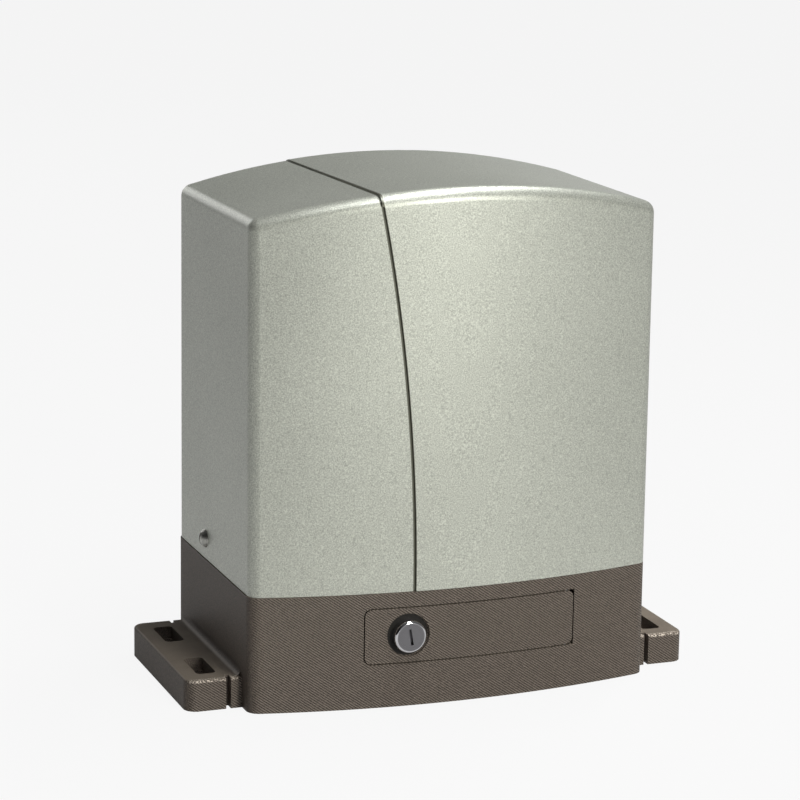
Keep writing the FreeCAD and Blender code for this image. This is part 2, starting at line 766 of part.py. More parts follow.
def output_shaft():
    """Shaft: front journal, hollow clutch end with slot, pinion end with keyway and thread."""
    main = rod_y(shaft_radius, output_front_bearing_y + front_bearing_width + body_gap, shaft_end)
    journal = rod_y(shaft_front_radius, output_front_bearing_y - 2, 0)
    shaft = joined(main, journal)
    pin_y = sleeve_start + sleeve_length / 2
    shaft = shaft.cut(rod_y(rod_radius, output_front_bearing_y - 3, pin_y + 4 + clutch_travel + 1))
    half = cross_pin_radius + 0.2
    slot = block(output_x - 20, output_x + 20, pin_y - half - 0.2, pin_y + half + clutch_travel + 0.2,
                 output_z - half, output_z + half)
    shaft = shaft.cut(slot)
    keyway = block(output_x - key_width / 2, output_x + key_width / 2, pinion_y + key_end,
                   shaft_end - key_end, output_z + shaft_radius - key_shaft_depth, output_z + 20)
    return shaft.cut(keyway).cut(rod_y(4.0, shaft_end - 22, shaft_end + 1))


def half_tooth(radius, base_radius, pitch_half):
    """Half of an involute tooth's angle at a radius."""
    def involute(angle):
        return math.tan(angle) - angle
    slope = math.acos(min(1.0, base_radius / radius))
    return pitch_half + involute(pressure_angle) - involute(slope)


def pinion():
    """Spur pinion that drives the rack: involute flanks, hub bore and keyway."""
    pitch_radius = pinion_module * pinion_teeth / 2
    base_radius = pitch_radius * math.cos(pressure_angle)
    tip = pitch_radius + pinion_module
    root = pitch_radius - 1.25 * pinion_module
    middle = (base_radius + tip) / 2
    step = TWO_PI / pinion_teeth

    def at(radius, angle):
        return Vector(output_x + radius * math.cos(angle), pinion_y, output_z + radius * math.sin(angle))

    edges = []
    for tooth in range(pinion_teeth):
        c = tooth * step
        w0, w1, w2 = (half_tooth(r, base_radius, step / 4) for r in (base_radius, middle, tip))
        gap_end = c + step - w0
        edges += [
            Part.makeLine(at(root, c - w0), at(base_radius, c - w0)),
            Part.Arc(at(base_radius, c - w0), at(middle, c - w1), at(tip, c - w2)).toShape(),
            Part.Arc(at(tip, c - w2), at(tip, c), at(tip, c + w2)).toShape(),
            Part.Arc(at(tip, c + w2), at(middle, c + w1), at(base_radius, c + w0)).toShape(),
            Part.makeLine(at(base_radius, c + w0), at(root, c + w0)),
            Part.Arc(at(root, c + w0), at(root, c + step / 2), at(root, gap_end)).toShape(),
        ]
    gear = Part.Face(Part.Wire(edges)).extrude(Vector(0, pinion_width, 0))
    gear = gear.cut(rod_y(shaft_radius, pinion_y - 1, shaft_end + 1))
    keyway = block(output_x - key_width / 2, output_x + key_width / 2, pinion_y - 1, shaft_end + 1,
                   output_z, output_z + shaft_radius + key_hub_depth)
    return gear.cut(keyway)


def pinion_key():
    """Parallel key between shaft and pinion."""
    top = output_z + shaft_radius + key_hub_depth - 0.3
    return block(output_x - key_width / 2, output_x + key_width / 2, pinion_y + key_end,
                 shaft_end - key_end, output_z + shaft_radius - key_shaft_depth, top)


def pinion_spacer():
    """Ring that keeps the pinion off the rear wall."""
    return rod_y(shaft_radius + 4, rear + body_gap, pinion_y).cut(
        rod_y(shaft_radius, rear, pinion_y + 1))


def pinion_washer():
    """Washer over the pinion's outer face."""
    return rod_y(shaft_radius + 4, shaft_end, shaft_end + washer_thickness).cut(
        rod_y(4.0, shaft_end - 1, shaft_end + washer_thickness + 1))


def pinion_screw():
    """Hexagon screw in the shaft's end."""
    y0 = shaft_end + washer_thickness
    head = hexagon(13.0, 5.3, Vector(output_x, y0, output_z), Vector(0, 1, 0))
    return joined(rod_y(4.0, shaft_end - 20, y0), head)


# ---------------------------------------------------------------- worm gear

def wheel_outline(y):
    """Outline of the worm wheel at a place along its width; the teeth follow the worm's lead."""
    root = wheel_pitch_radius - worm_module - tooth_clearance
    tip = wheel_pitch_radius + worm_module
    step = TWO_PI / wheel_teeth
    half_pitch_tooth = tooth_share * worm_pitch / 2
    lead_slope = worm_pitch / (TWO_PI * worm_pitch_radius)
    twist = -y * lead_slope / wheel_pitch_radius

    def half_angle(radius):
        taper = (wheel_pitch_radius - radius) * math.tan(flank_angle)
        return (half_pitch_tooth + taper) / radius

    points = []
    for tooth in range(wheel_teeth):
        c = (tooth + 0.5) * step + twist
        for radius, side in ((root, -1), (tip, -1), (tip, 1), (root, 1)):
            a = c + side * half_angle(radius)
            points.append(Vector(output_x + radius * math.cos(a), y, output_z + radius * math.sin(a)))
    points.append(points[0])
    return Part.makePolygon(points)


def wheel_rim():
    """Bronze rim with helical teeth."""
    half = wheel_width / 2
    rim = Part.makeLoft([wheel_outline(-half), wheel_outline(half)], True, True)
    return rim.cut(rod_y(hub_radius, -half - 1, half + 1))


hub_radius = 20.0
hub_front = output_front_bearing_y + front_bearing_width + body_gap


def wheel_hub():
    """Steel hub that runs on the shaft, with slots for the clutch dogs."""
    half = wheel_width / 2
    hub = joined(rod_y(hub_radius, -half, half), rod_y(14.0, hub_front, 0), rod_y(18.0, 0, hub_rear))
    hub = hub.cut(rod_y(shaft_radius + running_gap, -40, 40))
    for a in dog_angles():
        slot = dog(a, dog_angle + 2 * dog_play, shaft_radius - 2, hub_radius + 2,
                   sleeve_start - dog_length - body_gap, hub_rear + 1)
        hub = hub.cut(slot)
    return hub


worm_foot_bearing_z = floor_thickness + 4.5
worm_foot_bearing_width = 7.0
motor_bearing_width = 11.0
shield_z = motor_seat_z + casing_height
top_bearing_width = 10.0
worm_foot_radius = 4.0
worm_shaft_radius = 7.5
worm_top_radius = 6.0


def worm_thread():
    """One-start thread, a trapezium carried up a helix."""
    root = worm_pitch_radius - worm_module - tooth_clearance
    tip = worm_pitch_radius + worm_module
    half_tooth_width = tooth_share * worm_pitch / 2
    at_tip = half_tooth_width - worm_module * math.tan(flank_angle)
    at_core = half_tooth_width + (worm_pitch_radius - root + 1) * math.tan(flank_angle)
    turns = math.floor(2 * thread_half_length / worm_pitch)
    height = turns * worm_pitch
    helix = Part.makeHelix(worm_pitch, height, worm_pitch_radius)
    profile = Part.makePolygon([
        Vector(root - 1, 0, -at_core),
        Vector(tip, 0, -at_tip),
        Vector(tip, 0, at_tip),
        Vector(root - 1, 0, at_core),
        Vector(root - 1, 0, -at_core),
    ])
    thread = Part.Wire(helix.Edges).makePipeShell([profile], True, True)
    thread.rotate(Vector(0, 0, 0), Vector(0, 0, 1), 180)
    thread.translate(Vector(worm_x, 0, output_z - worm_pitch * math.floor(turns / 2)))
    return thread


def worm_shaft():
    """Motor shaft with the worm cut on its lower end."""
    root = worm_pitch_radius - worm_module - tooth_clearance
    foot_top = worm_foot_bearing_z + worm_foot_bearing_width
    motor_bearing_z = motor_seat_z - motor_bearing_width
    core = joined(
        rod_z(worm_foot_radius, worm_foot_bearing_z, foot_top + 1),
        rod_z(root, foot_top + body_gap, motor_bearing_z - body_gap),
        rod_z(worm_shaft_radius, motor_bearing_z - 1, shield_z - 12),
        rod_z(worm_top_radius, shield_z - 13, shield_z + shield_thickness - 4),
    )
    thread = worm_thread()
    return core.fuse(thread)


# ---------------------------------------------------------------- gearcase

case_front = -case_drum_half - case_nose
worm_chamber = worm_pitch_radius + worm_module + worm_room
column_radius = worm_chamber + case_wall
nose_radius = 27.0
rear_bearing_radius = 21.0
front_bearing_radius = 17.5
worm_foot_bearing_radius = 11.0
motor_bearing_radius = 17.5
motor_shoulder_radius = 13.5
top_bearing_radius = 16.0
case_rear = rear - boss_depth
case_bolts = [
    (output_x - 32, output_z + 32),
    (output_x - 32, output_z - 32),
    (worm_x + 28, output_z - 24),
    (worm_x + 28, output_z + 20),
]
case_lug = 7.0
case_lug_half = case_drum_half
case_bolt_radius = 3.0


def case_outside():
    """Outer form of both halves together."""
    half = case_drum_half
    slab = rounded(block(case_left, case_right, -half, half, floor_thickness, floor_thickness + case_foot), 5.0,
                   Vector(0, 0, 1))
    parts = [
        rod_y(front_bearing_radius + case_wall, case_front, 0),
        rod_y(nose_radius, 0, case_rear),
        slab,
        rod_z(column_radius, floor_thickness, motor_seat_z),
        block(output_x, worm_x, -column_radius + 4, column_radius - 4, floor_thickness, motor_seat_z - 10),
        rod_z(casing_radius, motor_seat_z - motor_flange, motor_seat_z),
    ]
    for angle in tie_angles():
        x, y = tie_place(angle)
        parts.append(rod_z(6.0, motor_seat_z - motor_flange, motor_seat_z, x, y))
    for x, z in case_bolts:
        parts.append(rod_y(case_lug, -case_lug_half, case_lug_half, x, z))
        inward_x = output_x if x < output_x else worm_x
        web = block(min(x, inward_x), max(x, inward_x), -case_lug_half, case_lug_half,
                    z - case_lug / 2, z + case_lug / 2)
        parts.append(web)
    return rod_y(drum_radius, -half, half).multiFuse(parts)


def case_inside():
    """Chambers, bearing seats and passages, taken out of both halves."""
    motor_bearing_z = motor_seat_z - motor_bearing_width
    return rod_y(wheel_tip_radius + wheel_room, -case_drum_half + 5, case_drum_half - 9).multiFuse([
        rod_y(front_bearing_radius, output_front_bearing_y, 0),
        rod_y(10.0, case_front - 1, 0),
        rod_y(rear_bearing_radius, 0, output_rear_bearing_y + rear_bearing_width),
        rod_y(shaft_radius + 1, 0, case_rear + 1),
        rod_z(worm_chamber, worm_foot_bearing_z + worm_foot_bearing_width + 1, motor_bearing_z - 2),
        rod_z(worm_foot_bearing_radius, worm_foot_bearing_z,
              worm_foot_bearing_z + worm_foot_bearing_width + 2),
        rod_z(motor_shoulder_radius, motor_bearing_z - 3, motor_seat_z),
        rod_z(motor_bearing_radius, motor_bearing_z, motor_seat_z + 1),
    ])


def gearcase():
    """The case, parted through the worm's axis into a front and a rear half."""
    whole = case_outside().cut(case_inside())
    for x, z in case_bolts:
        whole = whole.cut(rod_y(case_bolt_radius, -60, 60, x, z))
    for x, y in case_screws:
        whole = whole.cut(rod_z(3.2, 0, floor_thickness + case_foot + 1, x, y))
    for angle in tie_angles():
        x, y = tie_place(angle)
        whole = whole.cut(rod_z(tie_screw_radius, motor_seat_z - motor_flange - 1, motor_seat_z + 1, x, y))
    far = 2 * body_width
    front = whole.common(block(-far, far, -far, 0, -far, far))
    back = whole.common(block(-far, far, 0, far, -far, far))
    return front.removeSplitter(), back.removeSplitter()


def case_bolt_set():
    """Hexagon bolts that hold the two halves together."""
    bolts = []
    for x, z in case_bolts:
        shank = rod_y(case_bolt_radius, -case_lug_half, case_lug_half, x, z)
        head = hexagon(10.0, 4.0, Vector(x, -case_lug_half - 4, z), Vector(0, 1, 0))
        bolts.append(joined(shank, head))
    return bolts


def case_screw_set():
    """Screws that hold the gearcase to the floor."""
    screws = []
    top = floor_thickness + case_foot
    for x, y in case_screws:
        shank = rod_z(2.5, 1, top, x, y)
        head = rod_z(5.0, top, top + 5, x, y)
        screws.append(joined(shank, head.cut(rod_z(2.4, top + 2, top + 6, x, y))))
    return screws


def ball_bearing_y(outer, inner, y0, width):
    """Bearing on the output axis, with the recess between its rings on both faces."""
    return bearing(rod_y, outer, inner, y0, width)


def ball_bearing_z(outer, inner, z0, width):
    """Bearing on the motor's axis."""
    return bearing(rod_z, outer, inner, z0, width)


def bearing(rod, outer, inner, start, width):
    """Shielded ball bearing: rings with a shallow recess between them."""
    ring = rod(outer, start, start + width).cut(rod(inner, start - 1, start + width + 1))
    third = (outer - inner) / 3
    for a, b in ((start - 1, start + 0.6), (start + width - 0.6, start + width + 1)):
        groove = rod(outer - third, a, b).cut(rod(inner + third, a - 1, b + 1))
        ring = ring.cut(groove)
    return ring


def shaft_seal():
    """Lip seal in the rear wall."""
    seal = rod_y(seal_radius, rear - seal_width, rear)
    dish = rod_y(seal_radius - 2, rear - 1.5, rear + 1)
    return seal.cut(dish).cut(rod_y(shaft_radius + running_gap, 0, rear + 1))


# ---------------------------------------------------------------- motor

def tie_angles():
    """Angles of the four tie screws round the motor."""
    return [45 + 90 * step for step in range(4)]


def tie_place(angle):
    """Centre of a tie screw."""
    a = math.radians(angle)
    return worm_x + tie_radius * math.cos(a), tie_radius * math.sin(a)


def motor_casing():
    """Drawn tube with cooling ribs and lugs for the tie screws."""
    tube = rod_z(casing_radius, motor_seat_z, shield_z)
    ribs = []
    for step in range(5):
        z0 = motor_seat_z + 18 + 12 * step
        ribs.append(rod_z(casing_radius + 2.5, z0, z0 + 3))
    for angle in tie_angles():
        x, y = tie_place(angle)
        ribs.append(rod_z(6.0, motor_seat_z, shield_z, x, y))
    shell = joined(tube, *ribs)
    for angle in tie_angles():
        x, y = tie_place(angle)
        shell = shell.cut(rod_z(tie_screw_radius + 0.3, motor_seat_z - 1, shield_z + 1, x, y))
    return shell.cut(rod_z(stator_radius, motor_seat_z - 1, shield_z + 1))


def motor_shield():
    """Top end shield with the upper bearing's seat."""
    plate = rod_z(casing_radius, shield_z, shield_z + shield_thickness)
    plate = plate.makeChamfer(2.0, [edge for edge in plate.Edges if edge.BoundBox.ZMin > shield_z + 1])
    hub = rod_z(22.0, shield_z - 10, shield_z + 1)
    lugs = []
    for angle in tie_angles():
        x, y = tie_place(angle)
        lugs.append(rod_z(6.0, shield_z, shield_z + shield_thickness, x, y))
    shield = joined(plate, hub, *lugs)
    shield = shield.cut(rod_z(top_bearing_radius, shield_z - 11, shield_z - 8 + top_bearing_width))
    for angle in tie_angles():
        x, y = tie_place(angle)
        shield = shield.cut(rod_z(tie_screw_radius, shield_z - 1, shield_z + 10, x, y))
    return shield


def tie_screw_set():
    """Four long screws from the top shield into the gearcase."""
    screws = []
    top = shield_z + shield_thickness
    for angle in tie_angles():
        x, y = tie_place(angle)
        shank = rod_z(tie_screw_radius, motor_seat_z - motor_flange, top, x, y)
        head = rod_z(4.2, top, top + 4, x, y).cut(rod_z(2.0, top + 2, top + 5, x, y))
        screws.append(joined(shank, head))
    return Part.makeCompound(screws)


stator_z = motor_seat_z + 19
slot_depth = 11.0
slot_mouth = 2.0


def stator_slot(step, clearance, z0, z1):
    """One winding slot of the stator, made smaller by a clearance."""
    width = 5.6 - 2 * clearance
    inner = rotor_radius + air_gap + slot_mouth + clearance
    bar = block(inner, inner + slot_depth - 2 * clearance, -width / 2, width / 2, z0, z1)
    bar.rotate(Vector(0, 0, 0), Vector(0, 0, 1), 360.0 * step / stator_slots)
    bar.translate(Vector(worm_x, 0, 0))
    return bar


def stator_core():
    """Laminated stack with its slots and slot mouths."""
    core = rod_z(stator_radius, stator_z, stator_z + stator_height)
    core = core.cut(rod_z(rotor_radius + air_gap, stator_z - 1, stator_z + stator_height + 1))
    cuts = []
    for step in range(stator_slots):
        cuts.append(stator_slot(step, 0.0, stator_z - 1, stator_z + stator_height + 1))
        mouth = block(rotor_radius, rotor_radius + air_gap + slot_mouth + 1, -1, 1,
                      stator_z - 1, stator_z + stator_height + 1)
        mouth.rotate(Vector(0, 0, 0), Vector(0, 0, 1), 360.0 * step / stator_slots)
        mouth.translate(Vector(worm_x, 0, 0))
        cuts.append(mouth)
    return core.cut(cuts)


def stator_windings():
    """Copper: a bar in every slot and the end turns above and below the stack."""
    coil = 12.0
    inner = rotor_radius + air_gap + slot_mouth + 0.5
    outer = inner + slot_depth
    rings = []
    for z0 in (stator_z - 2 - coil, stator_z + stator_height + 2):
        ring = rod_z(outer, z0, z0 + coil).cut(rod_z(inner, z0 - 1, z0 + coil + 1))
        rings.append(ring.makeChamfer(2.8, [e for e in ring.Edges if isinstance(e.Curve, Part.Circle)]))
    bars = [stator_slot(step, 0.3, stator_z - 6, stator_z + stator_height + 6)
            for step in range(stator_slots)]
    return joined(rings[0], rings[1], *bars)


def rotor_core():
    """Laminated rotor on the shaft."""
    core = rod_z(rotor_radius, stator_z, stator_z + stator_height)
    return core.cut(rod_z(worm_shaft_radius, stator_z - 1, stator_z + stator_height + 1))


def rotor_rings():
    """Aluminium end rings of the cage."""
    rings = []
    for z0 in (stator_z - 7, stator_z + stator_height):
        ring = rod_z(rotor_radius - 1, z0, z0 + 7).cut(rod_z(14.0, z0 - 1, z0 + 8))
        rings.append(ring)
    return Part.makeCompound(rings)


# ---------------------------------------------------------------- electrical side

tray_x = (-half_width + tray_side_gap, worm_x - casing_radius - tray_motor_gap)
tray_z = (output_z + tray_lift, output_z + tray_lift + tray_height)


def board_frame():
    """Edges of the board: x0, x1, z0, z1."""
    return (tray_x[0] + board_margin, tray_x[1] - board_margin,
            tray_z[0] + board_margin, tray_z[1] - board_margin)


def board_corners():
    """Fixing points of the board."""
    x0, x1, z0, z1 = board_frame()
    return [(x, z) for x in (x0 + 5, x1 - 5) for z in (z0 + 5, z1 - 5)]


board_back = tray_y - tray_thickness - standoff_height
board_front = board_back - board_thickness


def board_tray():
    """Plastic back plate with rim, standoffs and two legs that stand on the floor."""
    x0, x1 = tray_x
    z0, z1 = tray_z
    back = rounded(block(x0, x1, tray_y - tray_thickness, tray_y, z0, z1), 5.0, Vector(0, 1, 0))
    rim = rounded(block(x0, x1, tray_y - 8, tray_y, z0, z1), 5.0, Vector(0, 1, 0))
    hole = rounded(block(x0 + 2, x1 - 2, tray_y - 9, tray_y + 1, z0 + 2, z1 - 2), 3.0, Vector(0, 1, 0))
    parts = [rim.cut(hole)]
    for x in (x0 + 4, case_left - 18):
        leg = block(x, x + 12, tray_y - 6, tray_y, floor_thickness, z0 + 6)
        toe = block(x - 3, x + 15, tray_y - 6, tray_y + 14, floor_thickness, floor_thickness + 3)
        parts += [leg, toe]
    for x, z in board_corners():
        parts.append(rod_y(3.5, board_back, tray_y - 1, x, z))
    tray = joined(back, *parts)
    for x, z in board_corners():
        tray = tray.cut(rod_y(1.5, board_back - 1, tray_y - tray_thickness, x, z))
    return tray


def control_board():
    """Printed circuit board."""
    x0, x1, z0, z1 = board_frame()
    board = rounded(block(x0, x1, board_front, board_back, z0, z1), 2.0, Vector(0, 1, 0))
    for x, z in board_corners():
        board = board.cut(rod_y(1.5, board_front - 1, board_back + 1, x, z))
    return board


def board_screws():
    """Screws that hold the board to the tray."""
    screws = []
    for x, z in board_corners():
        head = rod_y(2.8, board_front - 2, board_front, x, z)
        screws.append(joined(head, rod_y(1.5, board_front, board_back + 6, x, z)))
    return Part.makeCompound(screws)


def board_terminals():
    """Two rows of screw terminals along the board's lower edge."""
    x0, x1, z0, _ = board_frame()
    rows = []
    pitch = 5.0
    count = 8
    for start in (x0 + 12, x1 - 12 - count * pitch):
        strip = block(start, start + count * pitch, board_front - 12, board_front, z0 + 2, z0 + 12)
        cuts = []
        for way in range(count):
            x = start + pitch * (way + 0.5)
            cuts.append(rod_z(1.5, z0, z0 + 8, x, board_front - 4))
            cuts.append(rod_y(1.6, board_front - 13, board_front - 9, x, z0 + 7))
        rows.append(strip.cut(cuts))
    return Part.makeCompound(rows)


def board_relays():
    """Three relays."""
    x0, _, z0, _ = board_frame()
    relays = []
    for step in range(3):
        x = x0 + 12 + 24 * step
        case = rounded(block(x, x + 19, board_front - 15.5, board_front, z0 + 22, z0 + 37), 1.2,
                       Vector(0, 1, 0))
        relays.append(case)
    return relays


def board_parts():
    """Relays, processor, smoothing capacitors, plug-in radio card, fuse holder and choke."""
    x0, x1, z0, z1 = board_frame()
    chip = block(x0 + 38, x0 + 56, board_front - 2, board_front, z0 + 60, z0 + 78)
    cans = [rod_y(6.0, board_front - 16, board_front, x0 + 14, z0 + z) for z in (56, 72)]
    radio = block(x1 - 20, x1 - 17, board_front - 22, board_front, z0 + 50, z0 + 90)
    fuse = joined(block(x0 + 12, x0 + 34, board_front - 7, board_front, z1 - 18, z1 - 10),
                  rod_x(2.6, x0 + 13, x0 + 33, board_front - 8, z1 - 14))
    choke = rod_y(9.0, board_front - 9, board_front, x0 + 60, z1 - 20).cut(
        rod_y(4.0, board_front - 10, board_front - 2, x0 + 60, z1 - 20))
    return Part.makeCompound([*board_relays(), chip, *cans, radio, fuse, choke])


transformer = {"x": -half_width + 53.4, "y": rear - 37.7, "width": 66.0, "stack": 30.0, "height": 55.0,
               "leg": 11.0}


def transformer_core():
    """Laminated core with two windows round the coil."""
    t = transformer
    z0 = floor_thickness + 2
    half, stack = t["width"] / 2, t["stack"] / 2
    core = block(t["x"] - half, t["x"] + half, t["y"] - stack, t["y"] + stack, z0, z0 + t["height"])
    for side in (-1, 1):
        inner = t["x"] + side * t["leg"]
        outer = t["x"] + side * (half - t["leg"])
        a, b = sorted((inner, outer))
        core = core.cut(block(a, b, t["y"] - stack - 1, t["y"] + stack + 1, z0 + t["leg"],
                              z0 + t["height"] - t["leg"]))
    return core


def transformer_coil():
    """Winding on the middle leg, proud of the core at front and rear."""
    t = transformer
    z0 = floor_thickness + 2 + t["leg"] + 0.3
    z1 = floor_thickness + 2 + t["height"] - t["leg"] - 0.3
    half = t["width"] / 2 - t["leg"] - 0.3
    deep = t["stack"] / 2 + 9
    coil = rounded(block(t["x"] - half, t["x"] + half, t["y"] - deep, t["y"] + deep, z0, z1), 5.0,
                   Vector(0, 0, 1))
    leg = block(t["x"] - t["leg"] - 0.01, t["x"] + t["leg"] + 0.01, t["y"] - t["stack"] / 2 - 0.01,
                t["y"] + t["stack"] / 2 + 0.01, z0 - 1, z1 + 1)
    return coil.cut(leg)


def transformer_bracket():
    """Bent steel foot under the core."""
    t = transformer
    half = t["width"] / 2 + 12
    strip = block(t["x"] - half, t["x"] + half, t["y"] - 12, t["y"] + 12, floor_thickness,
                  floor_thickness + 2)
    strip = rounded(strip, 4.0, Vector(0, 0, 1))
    ears = []
    for side in (-1, 1):
        x0, x1 = sorted((t["x"] + side * t["width"] / 2, t["x"] + side * (t["width"] / 2 + 2)))
        ears.append(block(x0, x1, t["y"] - 12, t["y"] + 12, floor_thickness + 1, floor_thickness + 22))
    return joined(strip, *ears)


capacitor = {"x": -half_width + 35.4, "y": -rear + 35.7, "radius": 17.5, "height": 72.0}


def run_capacitor():
    """Motor run capacitor, a round can standing on the floor."""
    c = capacitor
    can = rod_z(c["radius"], floor_thickness, floor_thickness + c["height"], c["x"], c["y"])
    can = can.makeChamfer(1.2, [e for e in can.Edges if isinstance(e.Curve, Part.Circle)])
    top = floor_thickness + c["height"]
    blades = [block(c["x"] + dx - 0.4, c["x"] + dx + 0.4, c["y"] - 3, c["y"] + 3, top - 1, top + 8)
              for dx in (-6, 6)]
    return joined(can, *blades)


def capacitor_clip():
    """Plastic ring and foot that hold the capacitor."""
    c = capacitor
    z0 = floor_thickness + 20
    ring = rod_z(c["radius"] + 2.5, z0, z0 + 12, c["x"], c["y"])
    side = c["y"] - c["radius"]
    arm = block(c["x"] - 6, c["x"] + 6, side - 4, side, floor_thickness, z0 + 12)
    toe = block(c["x"] - 6, c["x"] + 6, side - 12, side, floor_thickness, floor_thickness + 3)
    return joined(ring, arm, toe).cut(rod_z(c["radius"], 0, z0 + 20, c["x"], c["y"]))


# ---------------------------------------------------------------- limit switch

switch_z1 = tower_height - 3
switch_z0 = switch_z1 - switch_height
switch_rear = rear + switch_depth
lever_y = switch_rear - 10
lever_z = (switch_z0 + switch_z1) / 2
lever_hub_radius = 5.0
lever_hub_half = 5.0
lever_pin_radius = 1.5
lever_swing = math.radians(30)


def switch_housing():
    """Moulded box on the tower's rear, open on top, with a window for the lever."""
    x0, x1 = output_x - switch_half, output_x + switch_half
    case = rounded(block(x0, x1, rear, switch_rear, switch_z0, switch_z1 - switch_wall), 3.0,
                   Vector(0, 0, 1))
    room = block(x0 + switch_wall, x1 - switch_wall, rear + switch_wall, switch_rear - switch_wall,
                 switch_z0 + switch_wall, switch_z1)
    case = case.cut(room)
    reach = switch_rear - lever_y
    half = reach * math.tan(lever_swing) + lever_radius / math.cos(lever_swing) + body_gap
    window = block(output_x - half, output_x + half, switch_rear - switch_wall - 1, switch_rear + 1,
                   lever_z - lever_radius - body_gap, lever_z + lever_radius + body_gap)
    post_low = rod_z(4.0, switch_z0 + 1, lever_z - lever_hub_half - body_gap, output_x, lever_y)
    case = joined(case.cut(window), post_low)
    return case.cut(rod_z(lever_pin_radius, switch_z0 + 1, switch_z1, output_x, lever_y))


def switch_lid():
    """Lid with a post that steadies the lever's pin."""
    x0, x1 = output_x - switch_half, output_x + switch_half
    lid = rounded(block(x0, x1, rear, switch_rear, switch_z1 - switch_wall, switch_z1), 3.0,
                  Vector(0, 0, 1))
    post = rod_z(4.0, lever_z + lever_hub_half + body_gap, switch_z1 - 1, output_x, lever_y)
    lid = joined(lid, post)
    return lid.cut(rod_z(lever_pin_radius, switch_z0, switch_z1 - 1, output_x, lever_y))


def lever_pin():
    """Pin that the lever swings on."""
    return rod_z(lever_pin_radius, switch_z0 + 1, switch_z1 - 1, output_x, lever_y)


def limit_lever():
    """Lever with hub, round arm and ball tip; tabs on the rack push it either way."""
    hub = rod_z(lever_hub_radius, lever_z - lever_hub_half, lever_z + lever_hub_half, output_x, lever_y)
    arm = rod_y(lever_radius, lever_y, lever_y + lever_reach, output_x, lever_z)
    tip = Part.makeSphere(lever_radius + 1.5, Vector(output_x, lever_y + lever_reach, lever_z))
    lever = joined(hub, arm, tip)
    return lever.cut(rod_z(lever_pin_radius + running_gap, switch_z0, switch_z1, output_x, lever_y))


def micro_switches():
    """Two snap switches, one each side of the lever's hub."""
    switches = []
    for side in (-1, 1):
        x0, x1 = sorted((output_x + side * (lever_hub_radius + 1.5), output_x + side * 20))
        switches.append(block(x0, x1, rear + switch_wall, rear + switch_wall + 10,
                              switch_z0 + switch_wall, switch_z0 + switch_wall + 10))
    return Part.makeCompound(switches)


def build():
    """Every node of the assembly, by name."""
    case_front_half, case_rear_half = gearcase()
    motor_bearing_z = motor_seat_z - motor_bearing_width
    return {
        "base_housing": base_housing(),
        "base_pocket": base_pocket(),
        "mounting_feet": mounting_feet(),
        "cable_grommet": cable_grommet(),
        "cover_shell": cover_shell(),
        "cover_screws": Part.makeCompound([cover_screw(-1), cover_screw(1)]),
        "cover_nuts": Part.makeCompound([cover_nut(-1), cover_nut(1)]),
        "hatch_panel": hatch_panel(),
        "hatch_pin": hatch_pin(),
        "lock_barrel": lock_barrel(),
        "lock_nut": lock_nut(),
        "lock_plug": lock_plug(),
        "lock_tongue": lock_tongue(),
        "lock_tongue_screw": lock_tongue_screw(),
        "release_knob": release_knob(),
        "knob_ring": knob_ring(),
        "release_rod": release_rod(),
        "clutch_sleeve": clutch_sleeve(),
        "clutch_pin": clutch_pin(),
        "clutch_spring": clutch_spring(),
        "gearcase_front": case_front_half,
        "gearcase_rear": case_rear_half,
        "gearcase_bolts": Part.makeCompound([*case_bolt_set(), *case_screw_set()]),
        "worm_shaft": worm_shaft(),
        "rotor_core": rotor_core(),
        "rotor_rings": rotor_rings(),
        "worm_wheel_rim": wheel_rim(),
        "worm_wheel_hub": wheel_hub(),
        "output_shaft": output_shaft(),
        "output_front_bearing": ball_bearing_y(front_bearing_radius, shaft_front_radius + running_gap,
                                               output_front_bearing_y, front_bearing_width),
        "output_rear_bearing": ball_bearing_y(rear_bearing_radius, shaft_radius + running_gap,
                                              output_rear_bearing_y, rear_bearing_width),
        "worm_foot_bearing": ball_bearing_z(worm_foot_bearing_radius, worm_foot_radius + running_gap,
                                            worm_foot_bearing_z, worm_foot_bearing_width),
        "motor_lower_bearing": ball_bearing_z(motor_bearing_radius, worm_shaft_radius + running_gap,
                                              motor_bearing_z, motor_bearing_width),
        "motor_top_bearing": ball_bearing_z(top_bearing_radius, worm_top_radius + running_gap,
                                            shield_z - 8, top_bearing_width),
        "shaft_seal": shaft_seal(),
        "pinion": pinion(),
        "pinion_key": pinion_key(),
        "pinion_spacer": pinion_spacer(),
        "pinion_washer": pinion_washer(),
        "pinion_screw": pinion_screw(),
        "motor_casing": motor_casing(),
        "motor_end_shield": motor_shield(),
        "motor_tie_screws": tie_screw_set(),
        "stator_core": stator_core(),
        "stator_windings": stator_windings(),
        "board_tray": board_tray(),
        "control_board": control_board(),
        "board_screws": board_screws(),
        "board_terminals": board_terminals(),
        "board_parts": board_parts(),
        "transformer_core": transformer_core(),
        "transformer_coil": transformer_coil(),
        "transformer_bracket": transformer_bracket(),
        "run_capacitor": run_capacitor(),
        "capacitor_clip": capacitor_clip(),
        "limit_switch_housing": switch_housing(),
        "limit_switch_lid": switch_lid(),
        "limit_lever_pin": lever_pin(),
        "limit_lever": limit_lever(),
        "limit_microswitches": micro_switches(),
    }


save(build())
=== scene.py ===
import math

import bpy
from mathutils import Matrix, Vector


